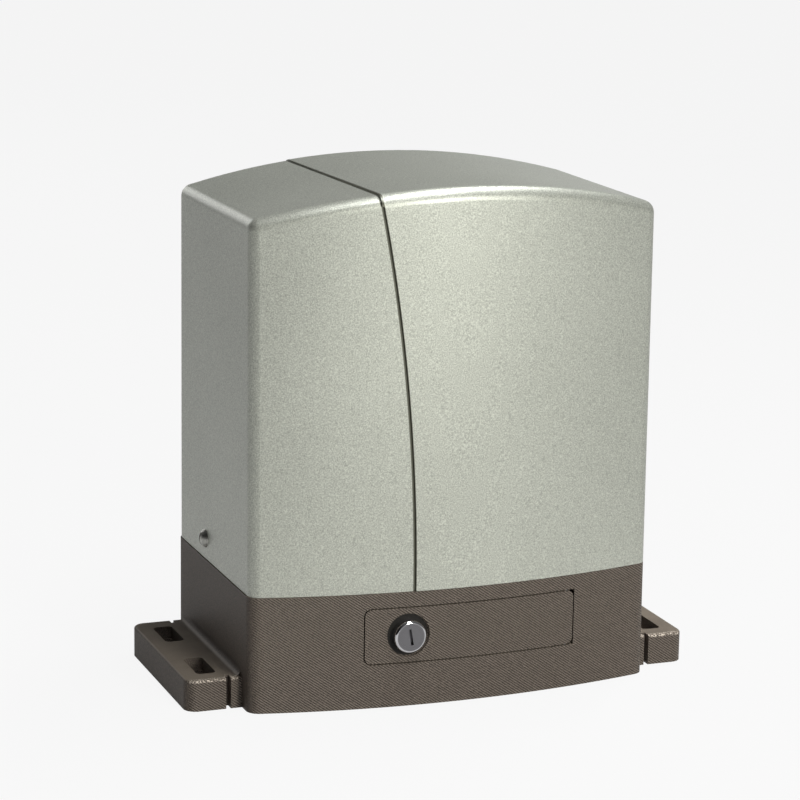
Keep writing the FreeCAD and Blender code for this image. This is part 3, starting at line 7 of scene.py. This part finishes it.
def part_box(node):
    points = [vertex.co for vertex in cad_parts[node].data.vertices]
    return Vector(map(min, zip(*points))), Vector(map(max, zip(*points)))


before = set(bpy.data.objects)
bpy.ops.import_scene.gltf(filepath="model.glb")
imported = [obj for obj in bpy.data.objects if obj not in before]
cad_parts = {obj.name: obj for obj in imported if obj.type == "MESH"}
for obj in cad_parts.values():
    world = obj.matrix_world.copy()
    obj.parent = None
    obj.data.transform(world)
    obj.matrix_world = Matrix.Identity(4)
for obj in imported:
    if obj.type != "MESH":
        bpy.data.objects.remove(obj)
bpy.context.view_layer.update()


# ---------------------------------------------------------------- camera, floor and studio
# A plain studio: a wide white floor, a surround that turns grey overhead and dark to the
# front left, a soft panel in front, a strip above and a weak lamp behind. A long lens
# looks slightly down from the left of the front.

camera_place = (-0.6468, -1.6763, 0.5804)
camera_yaw = 0.3641
camera_pitch = 0.2234
camera_roll = 0.0162
camera_lens = 129.22
floor_half = 20.0
floor_grey = (0.5, 0.5, 0.5, 1.0)
# how far each kind of ray sees the floor as plain white, so how faint the shadow is
floor_glow = {"Is Camera Ray": 0.9, "Is Transmission Ray": 0.97, "Is Glossy Ray": 0.4}
surround_stops = [(0.0, 0.6), (0.03, 0.5), (0.12, 0.13), (1.0, 0.11)]    # height of the way, grey
dark_way = (-0.88, -0.47, 0.0)               # a dark wall stands to the front left
dark_stops = [(0.3, 1.0), (0.8, 0.08)]       # how much of a way points at it, share of light left


def aim_camera():
    """Camera turned by yaw to the right, pitch downwards and roll about its own line of sight."""
    yaw, pitch, roll = camera_yaw, camera_pitch, camera_roll
    forward = Vector((math.sin(yaw) * math.cos(pitch), math.cos(yaw) * math.cos(pitch),
                      -math.sin(pitch)))
    right = Vector((math.cos(yaw), -math.sin(yaw), 0.0))
    up = right.cross(forward)
    right_rolled = right * math.cos(roll) + up * math.sin(roll)
    up_rolled = up * math.cos(roll) - right * math.sin(roll)
    turn = Matrix((right_rolled, up_rolled, -forward)).transposed().to_4x4()
    data = bpy.data.cameras.new("camera")
    data.lens = camera_lens
    data.sensor_width = 36.0
    data.clip_start = 0.05
    data.clip_end = 30.0
    camera = bpy.data.objects.new("camera", data)
    camera.matrix_world = Matrix.Translation(camera_place) @ turn
    bpy.context.scene.collection.objects.link(camera)
    bpy.context.scene.camera = camera


def soft_panel(name, place, target, width, height, power, tint=(1.0, 1.0, 1.0)):
    """Rectangular lamp at a place, turned to face a target."""
    lamp = bpy.data.lights.new(name, "AREA")
    lamp.shape = "RECTANGLE"
    lamp.size = width
    lamp.size_y = height
    lamp.energy = power
    lamp.color = tint
    holder = bpy.data.objects.new(name, lamp)
    way = Vector(target) - Vector(place)
    turn = way.to_track_quat("-Z", "Y").to_matrix().to_4x4()
    holder.matrix_world = Matrix.Translation(place) @ turn
    bpy.context.scene.collection.objects.link(holder)


def ramp_by(tree, factor, stops):
    """Colour ramp of (position, grey) stops on a factor."""
    ramp = tree.nodes.new("ShaderNodeValToRGB")
    tree.links.new(factor, ramp.inputs["Fac"])
    while len(ramp.color_ramp.elements) < len(stops):
        ramp.color_ramp.elements.new(0.5)
    for element, (position, grey) in zip(ramp.color_ramp.elements, stops):
        element.position = position
        element.color = (grey, grey, grey, 1.0)
    return ramp.outputs["Color"]


def surround():
    """World light by direction: grey by height, darker toward the dark wall."""
    world = bpy.data.worlds.new("studio")
    world.use_nodes = True
    bpy.context.scene.world = world
    tree = world.node_tree
    tree.nodes.clear()
    coords = tree.nodes.new("ShaderNodeTexCoord")
    parts = tree.nodes.new("ShaderNodeSeparateXYZ")
    tree.links.new(coords.outputs["Generated"], parts.inputs[0])
    toward = tree.nodes.new("ShaderNodeVectorMath")
    toward.operation = "DOT_PRODUCT"
    toward.inputs[1].default_value = dark_way
    tree.links.new(coords.outputs["Generated"], toward.inputs[0])
    shaded = tree.nodes.new("ShaderNodeVectorMath")
    shaded.operation = "MULTIPLY"
    tree.links.new(ramp_by(tree, parts.outputs["Z"], surround_stops), shaded.inputs[0])
    tree.links.new(ramp_by(tree, toward.outputs["Value"], dark_stops), shaded.inputs[1])
    light = tree.nodes.new("ShaderNodeBackground")
    tree.links.new(shaded.outputs[0], light.inputs["Color"])
    out = tree.nodes.new("ShaderNodeOutputWorld")
    tree.links.new(light.outputs[0], out.inputs["Surface"])


def lay_floor():
    """Floor that is matt grey to the light and nearly white to the camera."""
    mesh = bpy.data.meshes.new("floor")
    corners = [(-floor_half, -floor_half, 0), (floor_half, -floor_half, 0),
               (floor_half, floor_half, 0), (-floor_half, floor_half, 0)]
    mesh.from_pydata(corners, [], [(0, 1, 2, 3)])
    floor = bpy.data.objects.new("floor", mesh)
    bpy.context.scene.collection.objects.link(floor)
    material = bpy.data.materials.new("floor_white")
    material.use_nodes = True
    tree = material.node_tree
    tree.nodes.clear()
    matt = tree.nodes.new("ShaderNodeBsdfDiffuse")
    matt.inputs["Color"].default_value = floor_grey
    glow = tree.nodes.new("ShaderNodeEmission")
    glow.inputs["Strength"].default_value = 1.0
    path = tree.nodes.new("ShaderNodeLightPath")
    share = None
    for ray, glow_share in floor_glow.items():
        part = tree.nodes.new("ShaderNodeMath")
        part.operation = "MULTIPLY"
        part.inputs[1].default_value = glow_share
        tree.links.new(path.outputs[ray], part.inputs[0])
        if share:
            either = tree.nodes.new("ShaderNodeMath")
            either.operation = "MAXIMUM"
            tree.links.new(share.outputs[0], either.inputs[0])
            tree.links.new(part.outputs[0], either.inputs[1])
            part = either
        share = part
    mix = tree.nodes.new("ShaderNodeMixShader")
    tree.links.new(share.outputs[0], mix.inputs["Fac"])
    tree.links.new(matt.outputs[0], mix.inputs[1])
    tree.links.new(glow.outputs[0], mix.inputs[2])
    out = tree.nodes.new("ShaderNodeOutputMaterial")
    tree.links.new(mix.outputs[0], out.inputs["Surface"])
    mesh.materials.append(material)


aim_camera()
surround()
lay_floor()
soft_panel("key_panel", place=(0.62, -2.3, 0.75), target=(0.0, 0.0, 0.17),
           width=0.5, height=0.7, power=26.0, tint=(1.0, 0.99, 0.93))
soft_panel("rim_strip", place=(0.3, -0.2, 1.5), target=(0.0, -0.05, 0.3),
           width=1.8, height=0.05, power=19.0)
soft_panel("back_fill", place=(-0.6, 2.6, 0.9), target=(0.0, 0.0, 0.15),
           width=1.0, height=1.0, power=6.0)
bpy.context.scene.view_settings.view_transform = "Standard"


# ---------------------------------------------------------------- cover
# The cover is one moulding in metallic grey-green plastic with a fine grained skin, held by
# a screw at each side. A swept groove parts its narrow left panel from the wide right one,
# and shade is painted along it as a dark line.

cover_colour = (193, 196, 186)
cover_flakes = 1300.0                        # cells a metre, here and below
cover_clouds = 9.0
cloud_share = 0.15
skin_grain = 900.0
skin_depth = 0.00006
# painted shade: the dark line drawn along the groove, wider than the groove itself
groove_shade_colour = (98, 98, 86)
groove_foot = (-0.0315, 0.070)               # x and z where the groove leaves the base
groove_radius = 1.235
groove_turn = (-0.0563, -0.086, 0.3165)      # where it turns on to the top
groove_end = (-0.0624, 0.0877)               # x and y where it leaves the top at the rear
groove_half = 0.0008
groove_soft = 0.0004
groove_fade = 0.004                          # over which the arc hands on to the straight line
front_limit = -0.06                          # y, behind which nothing belongs to the front


def linear(red, green, blue):
    """Screen colour, 0 to 255, as the linear light that the shader works in."""
    parts = [part / 255.0 for part in (red, green, blue)]
    return (*[part / 12.92 if part <= 0.04045 else ((part + 0.055) / 1.055) ** 2.4
              for part in parts], 1.0)


def shade(colour, factor):
    """A screen colour made lighter or darker."""
    return linear(*[min(255.0, part * factor) for part in colour])


def shader(name, roughness, metallic=0.0, **sockets):
    """New node material with one shader; the even values go on the shader's own sockets."""
    material = bpy.data.materials.new(name)
    material.use_nodes = True
    nodes = material.node_tree.nodes
    nodes.clear()
    surface = nodes.new("ShaderNodeBsdfPrincipled")
    surface.inputs["Roughness"].default_value = roughness
    surface.inputs["Metallic"].default_value = metallic
    for socket, value in sockets.items():
        surface.inputs[socket.replace("_", " ")].default_value = value
    out = nodes.new("ShaderNodeOutputMaterial")
    material.node_tree.links.new(surface.outputs[0], out.inputs["Surface"])
    return material, surface


def add_node(material, kind, links=(), **settings):
    """New node with its settings, and each (output, input name) pair joined up."""
    node = material.node_tree.nodes.new(kind)
    for key, value in settings.items():
        setattr(node, key, value)
    for source, target in links:
        material.node_tree.links.new(source, node.inputs[target])
    return node


def own_place(material):
    """The piece's own coordinates, in metres."""
    return add_node(material, "ShaderNodeTexCoord").outputs["Object"]


def split(material, vector):
    """A vector's X, Y and Z."""
    parts = add_node(material, "ShaderNodeSeparateXYZ", [(vector, "Vector")])
    return [parts.outputs[name] for name in "XYZ"]


def maths(material, operation, first, second):
    """Math on two values, each an output or a number."""
    node = add_node(material, "ShaderNodeMath", operation=operation)
    for index, value in enumerate((first, second)):
        if isinstance(value, (int, float)):
            node.inputs[index].default_value = value
        else:
            material.node_tree.links.new(value, node.inputs[index])
    return node.outputs[0]


def noise(material, scale, detail=2.0, roughness=0.5, source=None):
    """Noise over the piece's own coordinates; scale is cells a metre."""
    node = add_node(material, "ShaderNodeTexNoise", [(source or own_place(material), "Vector")])
    node.inputs["Scale"].default_value = scale
    node.inputs["Detail"].default_value = detail
    node.inputs["Roughness"].default_value = roughness
    return node.outputs["Fac"]


def blend_colours(material, factor, dark, light, low=0.35, high=0.65):
    """Colour that goes from dark to light as the factor rises from low to high."""
    ramp = add_node(material, "ShaderNodeValToRGB", [(factor, "Fac")])
    ramp.color_ramp.elements[0].position = low
    ramp.color_ramp.elements[0].color = dark
    ramp.color_ramp.elements[1].position = high
    ramp.color_ramp.elements[1].color = light
    return ramp.outputs["Color"]


def mixed_colour(material, factor, first, second):
    """Colour that goes from the first output to the second colour as the factor rises."""
    node = add_node(material, "ShaderNodeMix", data_type="RGBA")
    colours = [socket for socket in node.inputs if socket.type == "RGBA"]
    material.node_tree.links.new(factor, node.inputs["Factor"])
    material.node_tree.links.new(first, colours[0])
    colours[1].default_value = second
    return [socket for socket in node.outputs if socket.type == "RGBA"][0]


def spread(material, factor, low, high):
    """Number that goes from low to high as the factor goes from 0 to 1."""
    node = add_node(material, "ShaderNodeMapRange", [(factor, "Value")])
    node.inputs["To Min"].default_value = low
    node.inputs["To Max"].default_value = high
    return node.outputs["Result"]


def rise(material, value, start, full):
    """0 where the value is at the start or short of it, and 1 from full on."""
    node = add_node(material, "ShaderNodeMapRange", [(value, "Value")])
    node.inputs["From Min"].default_value = start
    node.inputs["From Max"].default_value = full
    return node.outputs["Result"]


def band(material, distance, half_width, soft):
    """1 where the distance is below half_width, fading to 0 over the soft edge."""
    return rise(material, distance, half_width + soft, half_width)


def gap_to(material, value, other):
    """Distance between two values."""
    return maths(material, "ABSOLUTE", maths(material, "SUBTRACT", value, other), 0.0)


def bump(material, surface, height, depth):
    """Relief of a depth in metres."""
    node = add_node(material, "ShaderNodeBump", [(height, "Height")])
    node.inputs["Distance"].default_value = depth
    node.inputs["Strength"].default_value = 1.0
    material.node_tree.links.new(node.outputs["Normal"], surface.inputs["Normal"])


def dress(material, *names):
    """Gives CAD nodes a material."""
    for name in names:
        piece = bpy.data.objects[name]
        piece.data.materials.clear()
        piece.data.materials.append(material)


def groove_painted_shade(material):
    """Painted shade along the groove: a circle's arc up the front, a straight line over the top.
    """
    x, y, z = split(material, own_place(material))
    climbed = maths(material, "SUBTRACT", z, groove_foot[1])
    climbed_squared = maths(material, "MULTIPLY", climbed, climbed)
    across_squared = maths(material, "SUBTRACT", groove_radius ** 2, climbed_squared)
    across = maths(material, "POWER", across_squared, 0.5)
    arc_x = maths(material, "ADD", across, groove_foot[0] - groove_radius)
    arc = band(material, gap_to(material, x, arc_x), groove_half, groove_soft)
    forward = band(material, y, front_limit, groove_fade)
    below_turn = band(material, z, groove_turn[2], groove_fade)
    front = maths(material, "MULTIPLY", maths(material, "MULTIPLY", arc, forward), below_turn)

    slope = (groove_end[0] - groove_turn[0]) / (groove_end[1] - groove_turn[1])
    past_turn = maths(material, "SUBTRACT", y, groove_turn[1])
    line_x = maths(material, "ADD", maths(material, "MULTIPLY", past_turn, slope), groove_turn[0])
    line = band(material, gap_to(material, x, line_x), groove_half, groove_soft)
    top = maths(material, "MULTIPLY", line, maths(material, "SUBTRACT", 1.0, below_turn))
    return maths(material, "MAXIMUM", front, top)


def cover_material():
    """Metallic moulding: fine flakes in the colour, grained skin, uneven gloss, painted shade
    along the groove.
    """
    material, surface = shader("cover_grained_plastic", 0.46, 0.65, Specular_IOR_Level=0.35,
                               Coat_Weight=0.35, Coat_Roughness=0.2)
    link = material.node_tree.links.new
    flakes = noise(material, cover_flakes, 1.0)
    clouds = noise(material, cover_clouds, 2.0)
    mixed = maths(material, "ADD", maths(material, "MULTIPLY", flakes, 1 - cloud_share),
                  maths(material, "MULTIPLY", clouds, cloud_share))
    colour = blend_colours(material, mixed, shade(cover_colour, 0.86), shade(cover_colour, 1.12),
                           0.3, 0.7)
    # painted shade along the groove, mixed into the colour
    groove_shaded = mixed_colour(material, groove_painted_shade(material), colour, linear(*groove_shade_colour))
    link(groove_shaded, surface.inputs["Base Color"])
    link(spread(material, flakes, 0.4, 0.52), surface.inputs["Roughness"])
    bump(material, surface, noise(material, skin_grain, 1.5), skin_depth)
    return material


dress(cover_material(), "cover_shell")


# ---------------------------------------------------------------- base casting
# The base is die-cast aluminium, painted brown-grey, with its feet cast on. Its front
# faces, and those of the feet, carry fine slanting ribs; the sides and the feet's tops are
# plain. Painted light makes what faces up lighter, in uneven patches; bare specks along the
# feet's front edges are bright enough to be painted glints too; painted shade darkens the
# dish round the lock.

base_colour = (112, 103, 95)
paint_grain = 1400.0
rib_pitch = 0.0014
rib_slope = math.radians(35)
rib_share = 0.7                              # of the ribs' height in the colour's change
paint_depth = 0.00025
ribs_from, ribs_full = -0.6, -0.75           # how far a face looks forward
# painted light: faces that look up are made lighter than the paint, in uneven patches
top_light_colour = (150, 139, 125)
top_light_patches = 60.0
top_light_from, top_light_full = 0.6, 0.95             # how far a face looks up
# bare specks along the feet's front top edges, light enough that they are painted glints as well
# as wear
wear_and_glint_colour = (226, 214, 200)
wear_and_glint_specks = 1100.0
wear_and_glint_from, wear_and_glint_full = 0.5, 0.6              # the noise that shows bare specks and painted glints
foot_top = 0.01975
foot_inner = 0.136
wear_and_glint_half = 0.0012
wear_and_glint_soft = 0.0006
edge_soft = 0.001
lock_low, lock_high = [Vector(corner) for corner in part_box("lock_plug")]
lock_axis = (lock_low + lock_high) / 2
lock_shade_radius = 0.0131                    # painted shade: the dish round the lock is left dark
lock_shade_colour = (40, 38, 36)
lock_soft = 0.0004


def from_lock_axis(material):
    """Distance from the lock's axis."""
    x, _, z = split(material, own_place(material))
    squares = [maths(material, "POWER", maths(material, "SUBTRACT", value, middle), 2.0)
               for value, middle in ((x, lock_axis.x), (z, lock_axis.z))]
    return maths(material, "POWER", maths(material, "ADD", *squares), 0.5)


def ribbed_paint():
    """Brown-grey paint, with ribs whose height is a sine across the slope, painted light on what
    faces up, bare specks that are painted glints too on the feet's edges, and painted shade in the
    lock's dish.
    """
    material, surface = shader("base_ribbed_paint", 0.5, 0.15, Specular_IOR_Level=0.2)
    link = material.node_tree.links.new
    x, y, z = split(material, own_place(material))
    facing = add_node(material, "ShaderNodeTexCoord").outputs["Normal"]
    _, facing_y, facing_z = split(material, facing)
    outside = band(material, y, front_limit, edge_soft)
    # painted shade fills the recessed dish round the lock
    dish_shade = band(material, from_lock_axis(material), lock_shade_radius, lock_soft)

    across = maths(material, "ADD", maths(material, "MULTIPLY", x, math.sin(rib_slope)),
                   maths(material, "MULTIPLY", z, math.cos(rib_slope)))
    turns = maths(material, "MULTIPLY", across, 2 * math.pi / rib_pitch)
    wave = maths(material, "SINE", turns, 0.0)
    forward = rise(material, facing_y, ribs_from, ribs_full)
    shown = maths(material, "MULTIPLY", maths(material, "MULTIPLY", forward, outside),
                  maths(material, "SUBTRACT", 1.0, dish_shade))
    ribs = maths(material, "MULTIPLY", maths(material, "MULTIPLY", wave, shown), 0.5)
    grain = noise(material, paint_grain, 1.0)
    mixed = maths(material, "ADD", maths(material, "MULTIPLY", ribs, rib_share), grain)
    paint = blend_colours(material, mixed, shade(base_colour, 0.62), shade(base_colour, 1.22),
                          0.15, 0.85)

    # painted light on what faces up, in patches
    level = rise(material, facing_z, top_light_from, top_light_full)
    patches = spread(material, noise(material, top_light_patches, 3.0), 0.3, 1.0)
    painted_top_light = maths(material, "MULTIPLY", level, patches)
    top_lit = mixed_colour(material, painted_top_light, paint, linear(*top_light_colour))

    # bare specks on the feet's front top edges, also painted glints
    top_edge = band(material, gap_to(material, z, foot_top), wear_and_glint_half, wear_and_glint_soft)
    front_edge = band(material, y, front_limit - edge_soft / 2, edge_soft)
    specks = rise(material, noise(material, wear_and_glint_specks, 2.0), wear_and_glint_from, wear_and_glint_full)
    feet_only = maths(material, "GREATER_THAN", maths(material, "ABSOLUTE", x, 0.0), foot_inner)
    wear_and_glint = maths(material, "MULTIPLY", maths(material, "MULTIPLY", top_edge, front_edge),
                 maths(material, "MULTIPLY", specks, feet_only))
    edged = mixed_colour(material, wear_and_glint, top_lit, linear(*wear_and_glint_colour))

    # painted shade in the dish round the lock, on the outside faces only
    dark = maths(material, "MULTIPLY", dish_shade, outside)
    link(mixed_colour(material, dark, edged, linear(*lock_shade_colour)),
         surface.inputs["Base Color"])
    link(spread(material, grain, 0.42, 0.6), surface.inputs["Roughness"])
    height = maths(material, "ADD", ribs, maths(material, "MULTIPLY", grain, 0.25))
    bump(material, surface, height, paint_depth)
    return material


base_paint = ribbed_paint()
dress(base_paint, "base_housing", "mounting_feet", "base_pocket")


# ---------------------------------------------------------------- hatch
# The hatch is a curved cast plate in the same ribbed paint as the base. It swings on a
# bright steel pin at its right end, out of sight behind the line of the opening.

dress(base_paint, "hatch_panel")


def metal(name, colour, roughness, streaks=(300.0, 300.0, 300.0), depth=0.00001, wear=0.1):
    """Metal with fine tool marks: noise drawn out along the marks, in colour, gloss and relief."""
    material, surface = shader(name, roughness, 1.0)
    link = material.node_tree.links.new
    mapped = add_node(material, "ShaderNodeMapping", [(own_place(material), "Vector")])
    mapped.inputs["Scale"].default_value = streaks
    marks = noise(material, 1.0, 3.0, 0.6, mapped.outputs["Vector"])
    marked = blend_colours(material, marks, shade(colour, 1 - wear), shade(colour, 1 + wear),
                           0.3, 0.7)
    link(marked, surface.inputs["Base Color"])
    link(spread(material, marks, roughness * 0.8, roughness * 1.25), surface.inputs["Roughness"])
    bump(material, surface, marks, depth)
    return material


bright_steel = metal("bright_steel", (186, 186, 188), 0.28, streaks=(2500.0, 2500.0, 120.0))
dress(bright_steel, "hatch_pin")


# ---------------------------------------------------------------- lock
# The lock is chromed zinc: a round head in the hatch's dish, which is painted dark as
# shade, with a plug that the key turns. Its face is satin, painted dark grey as a painted
# reflection, and its rounded rim is polished. A zinc-plated nut holds it from behind, and a
# screw holds the tongue on the plug's end.

lock_rim = 0.0087
# painted reflection: the face is coloured dark grey, darker than chrome, to stand in for the dark
# it reflects
face_painted_dark_colour = (124, 123, 126)
rim_dark = (212, 212, 215)
rim_light = (226, 226, 229)
brushed_grain = 1800.0
brushed_depth = 0.000006


def lock_chrome():
    """Chrome, satin across the face and polished on the rim, by distance from the axis; the face's
    colour is painted dark grey, standing in for a dark reflection.
    """
    material, surface = shader("lock_chrome", 0.25, 1.0)
    link = material.node_tree.links.new
    face = band(material, from_lock_axis(material), lock_rim, lock_soft)
    brushed = noise(material, brushed_grain, 2.0)
    rim = blend_colours(material, brushed, linear(*rim_dark), linear(*rim_light))
    # the face gets its painted dark colour, the rim its chrome
    link(mixed_colour(material, face, rim, linear(*face_painted_dark_colour)), surface.inputs["Base Color"])
    link(spread(material, face, 0.07, 0.3), surface.inputs["Roughness"])
    bump(material, surface, brushed, brushed_depth)
    return material


chrome = lock_chrome()
zinc = metal("zinc_plate", (176, 176, 170), 0.38, streaks=(700.0, 700.0, 700.0),
             depth=0.00002, wear=0.12)
dress(chrome, "lock_barrel", "lock_plug")
dress(zinc, "lock_nut", "lock_tongue", "lock_tongue_screw")


# ---------------------------------------------------------------- cover screws
# Domed zinc-plated screws, one through each side of the cover, with a nut behind the tab
# of the base that they clamp.

dress(zinc, "cover_screws", "cover_nuts")


# ---------------------------------------------------------------- release knob and clutch
# The knob is a red moulding, held by a snap ring. Its stem pushes a steel rod into the
# hollow output shaft, where the rod moves the clutch sleeve against its spring.


def moulded(name, colour, roughness, grain=900.0, depth=0.00003, unevenness=0.06):
    """Moulded plastic or rubber with a fine grain and slightly uneven colour."""
    material, surface = shader(name, roughness)
    link = material.node_tree.links.new
    fine = noise(material, grain, 2.0)
    wide = noise(material, 14.0, 2.0)
    mixed = maths(material, "ADD", maths(material, "MULTIPLY", fine, 0.5),
                  maths(material, "MULTIPLY", wide, 0.5))
    uneven = blend_colours(material, mixed, shade(colour, 1 - unevenness),
                           shade(colour, 1 + unevenness))
    link(uneven, surface.inputs["Base Color"])
    link(spread(material, fine, roughness * 0.85, roughness * 1.15), surface.inputs["Roughness"])
    bump(material, surface, fine, depth)
    return material


dress(moulded("knob_red", (178, 42, 30), 0.4), "release_knob")
dress(zinc, "knob_ring")
dress(bright_steel, "release_rod", "clutch_sleeve", "clutch_pin", "clutch_spring")


# ---------------------------------------------------------------- gearcase and motor
# Gearcase halves, motor casing and end shield are aluminium as cast, and so are the rotor's
# cage rings. Stator, rotor and transformer cores are stacks of steel laminations, and the
# windings are enamelled copper. Plated screws hold the cases together.

cast = metal("cast_aluminium", (176, 178, 180), 0.55, streaks=(420.0, 420.0, 420.0),
             depth=0.00008, wear=0.12)
laminations = metal("laminated_steel", (104, 104, 108), 0.5, streaks=(60.0, 60.0, 4000.0),
                    depth=0.00005, wear=0.2)
copper = metal("winding_copper", (196, 108, 58), 0.35, streaks=(60.0, 60.0, 2200.0),
               depth=0.0003, wear=0.2)
dress(cast, "gearcase_front", "gearcase_rear", "motor_casing", "motor_end_shield")
dress(zinc, "gearcase_bolts", "motor_tie_screws")
dress(laminations, "stator_core", "rotor_core", "transformer_core")
dress(cast, "rotor_rings")
dress(copper, "stator_windings")


# ---------------------------------------------------------------- worm, wheel, shaft, pinion
# The worm and the output shaft are ground steel, the wheel is a bronze rim on a steel hub,
# and the pinion that drives the rack is plain steel, keyed and screwed on the shaft's end.

bronze = metal("wheel_bronze", (190, 146, 74), 0.32, streaks=(700.0, 700.0, 700.0),
               depth=0.00002, wear=0.12)
gear_steel = metal("pinion_steel", (140, 140, 144), 0.36, streaks=(500.0, 3000.0, 500.0),
                   depth=0.00002, wear=0.15)
dress(bright_steel, "worm_shaft", "worm_wheel_hub", "output_shaft", "pinion_key")
dress(bronze, "worm_wheel_rim")
dress(gear_steel, "pinion")
dress(zinc, "pinion_spacer", "pinion_washer", "pinion_screw")
dress(bright_steel, "output_front_bearing", "output_rear_bearing", "worm_foot_bearing",
      "motor_lower_bearing", "motor_top_bearing")


# ---------------------------------------------------------------- rubber
# The cable grommet in the base's floor and the output shaft's seal are black moulded
# rubber, pressed into their holes.

dress(moulded("black_rubber", (34, 33, 32), 0.7), "cable_grommet", "shaft_seal")


# ---------------------------------------------------------------- control board
# A black plastic tray carries the green board on four screws, with its terminals, relays
# and other components soldered on.

black_plastic = moulded("black_moulding", (38, 38, 40), 0.5)
dress(black_plastic, "board_tray", "capacitor_clip", "limit_switch_housing", "limit_switch_lid")
dress(moulded("board_green", (18, 92, 52), 0.35), "control_board")
dress(zinc, "board_screws")
dress(moulded("terminal_green", (52, 138, 74), 0.45), "board_terminals")
dress(moulded("relay_black", (30, 30, 34), 0.35), "board_parts")


# ---------------------------------------------------------------- transformer and capacitor
# The transformer's coil is wrapped in yellow tape, and a plated bracket holds it down. The
# motor's run capacitor is a pale plastic can in a clip.

dress(moulded("winding_tape", (206, 172, 62), 0.45), "transformer_coil")
dress(zinc, "transformer_bracket")
dress(moulded("capacitor_can", (214, 214, 208), 0.35), "run_capacitor")


# ---------------------------------------------------------------- limit switch
# A small black switch box is screwed to the tower. Its bright steel lever swings when the
# stops on the rack pass, and works the two snap switches inside.

dress(bright_steel, "limit_lever", "limit_lever_pin")
dress(moulded("snap_switch", (150, 34, 28), 0.4), "limit_microswitches")
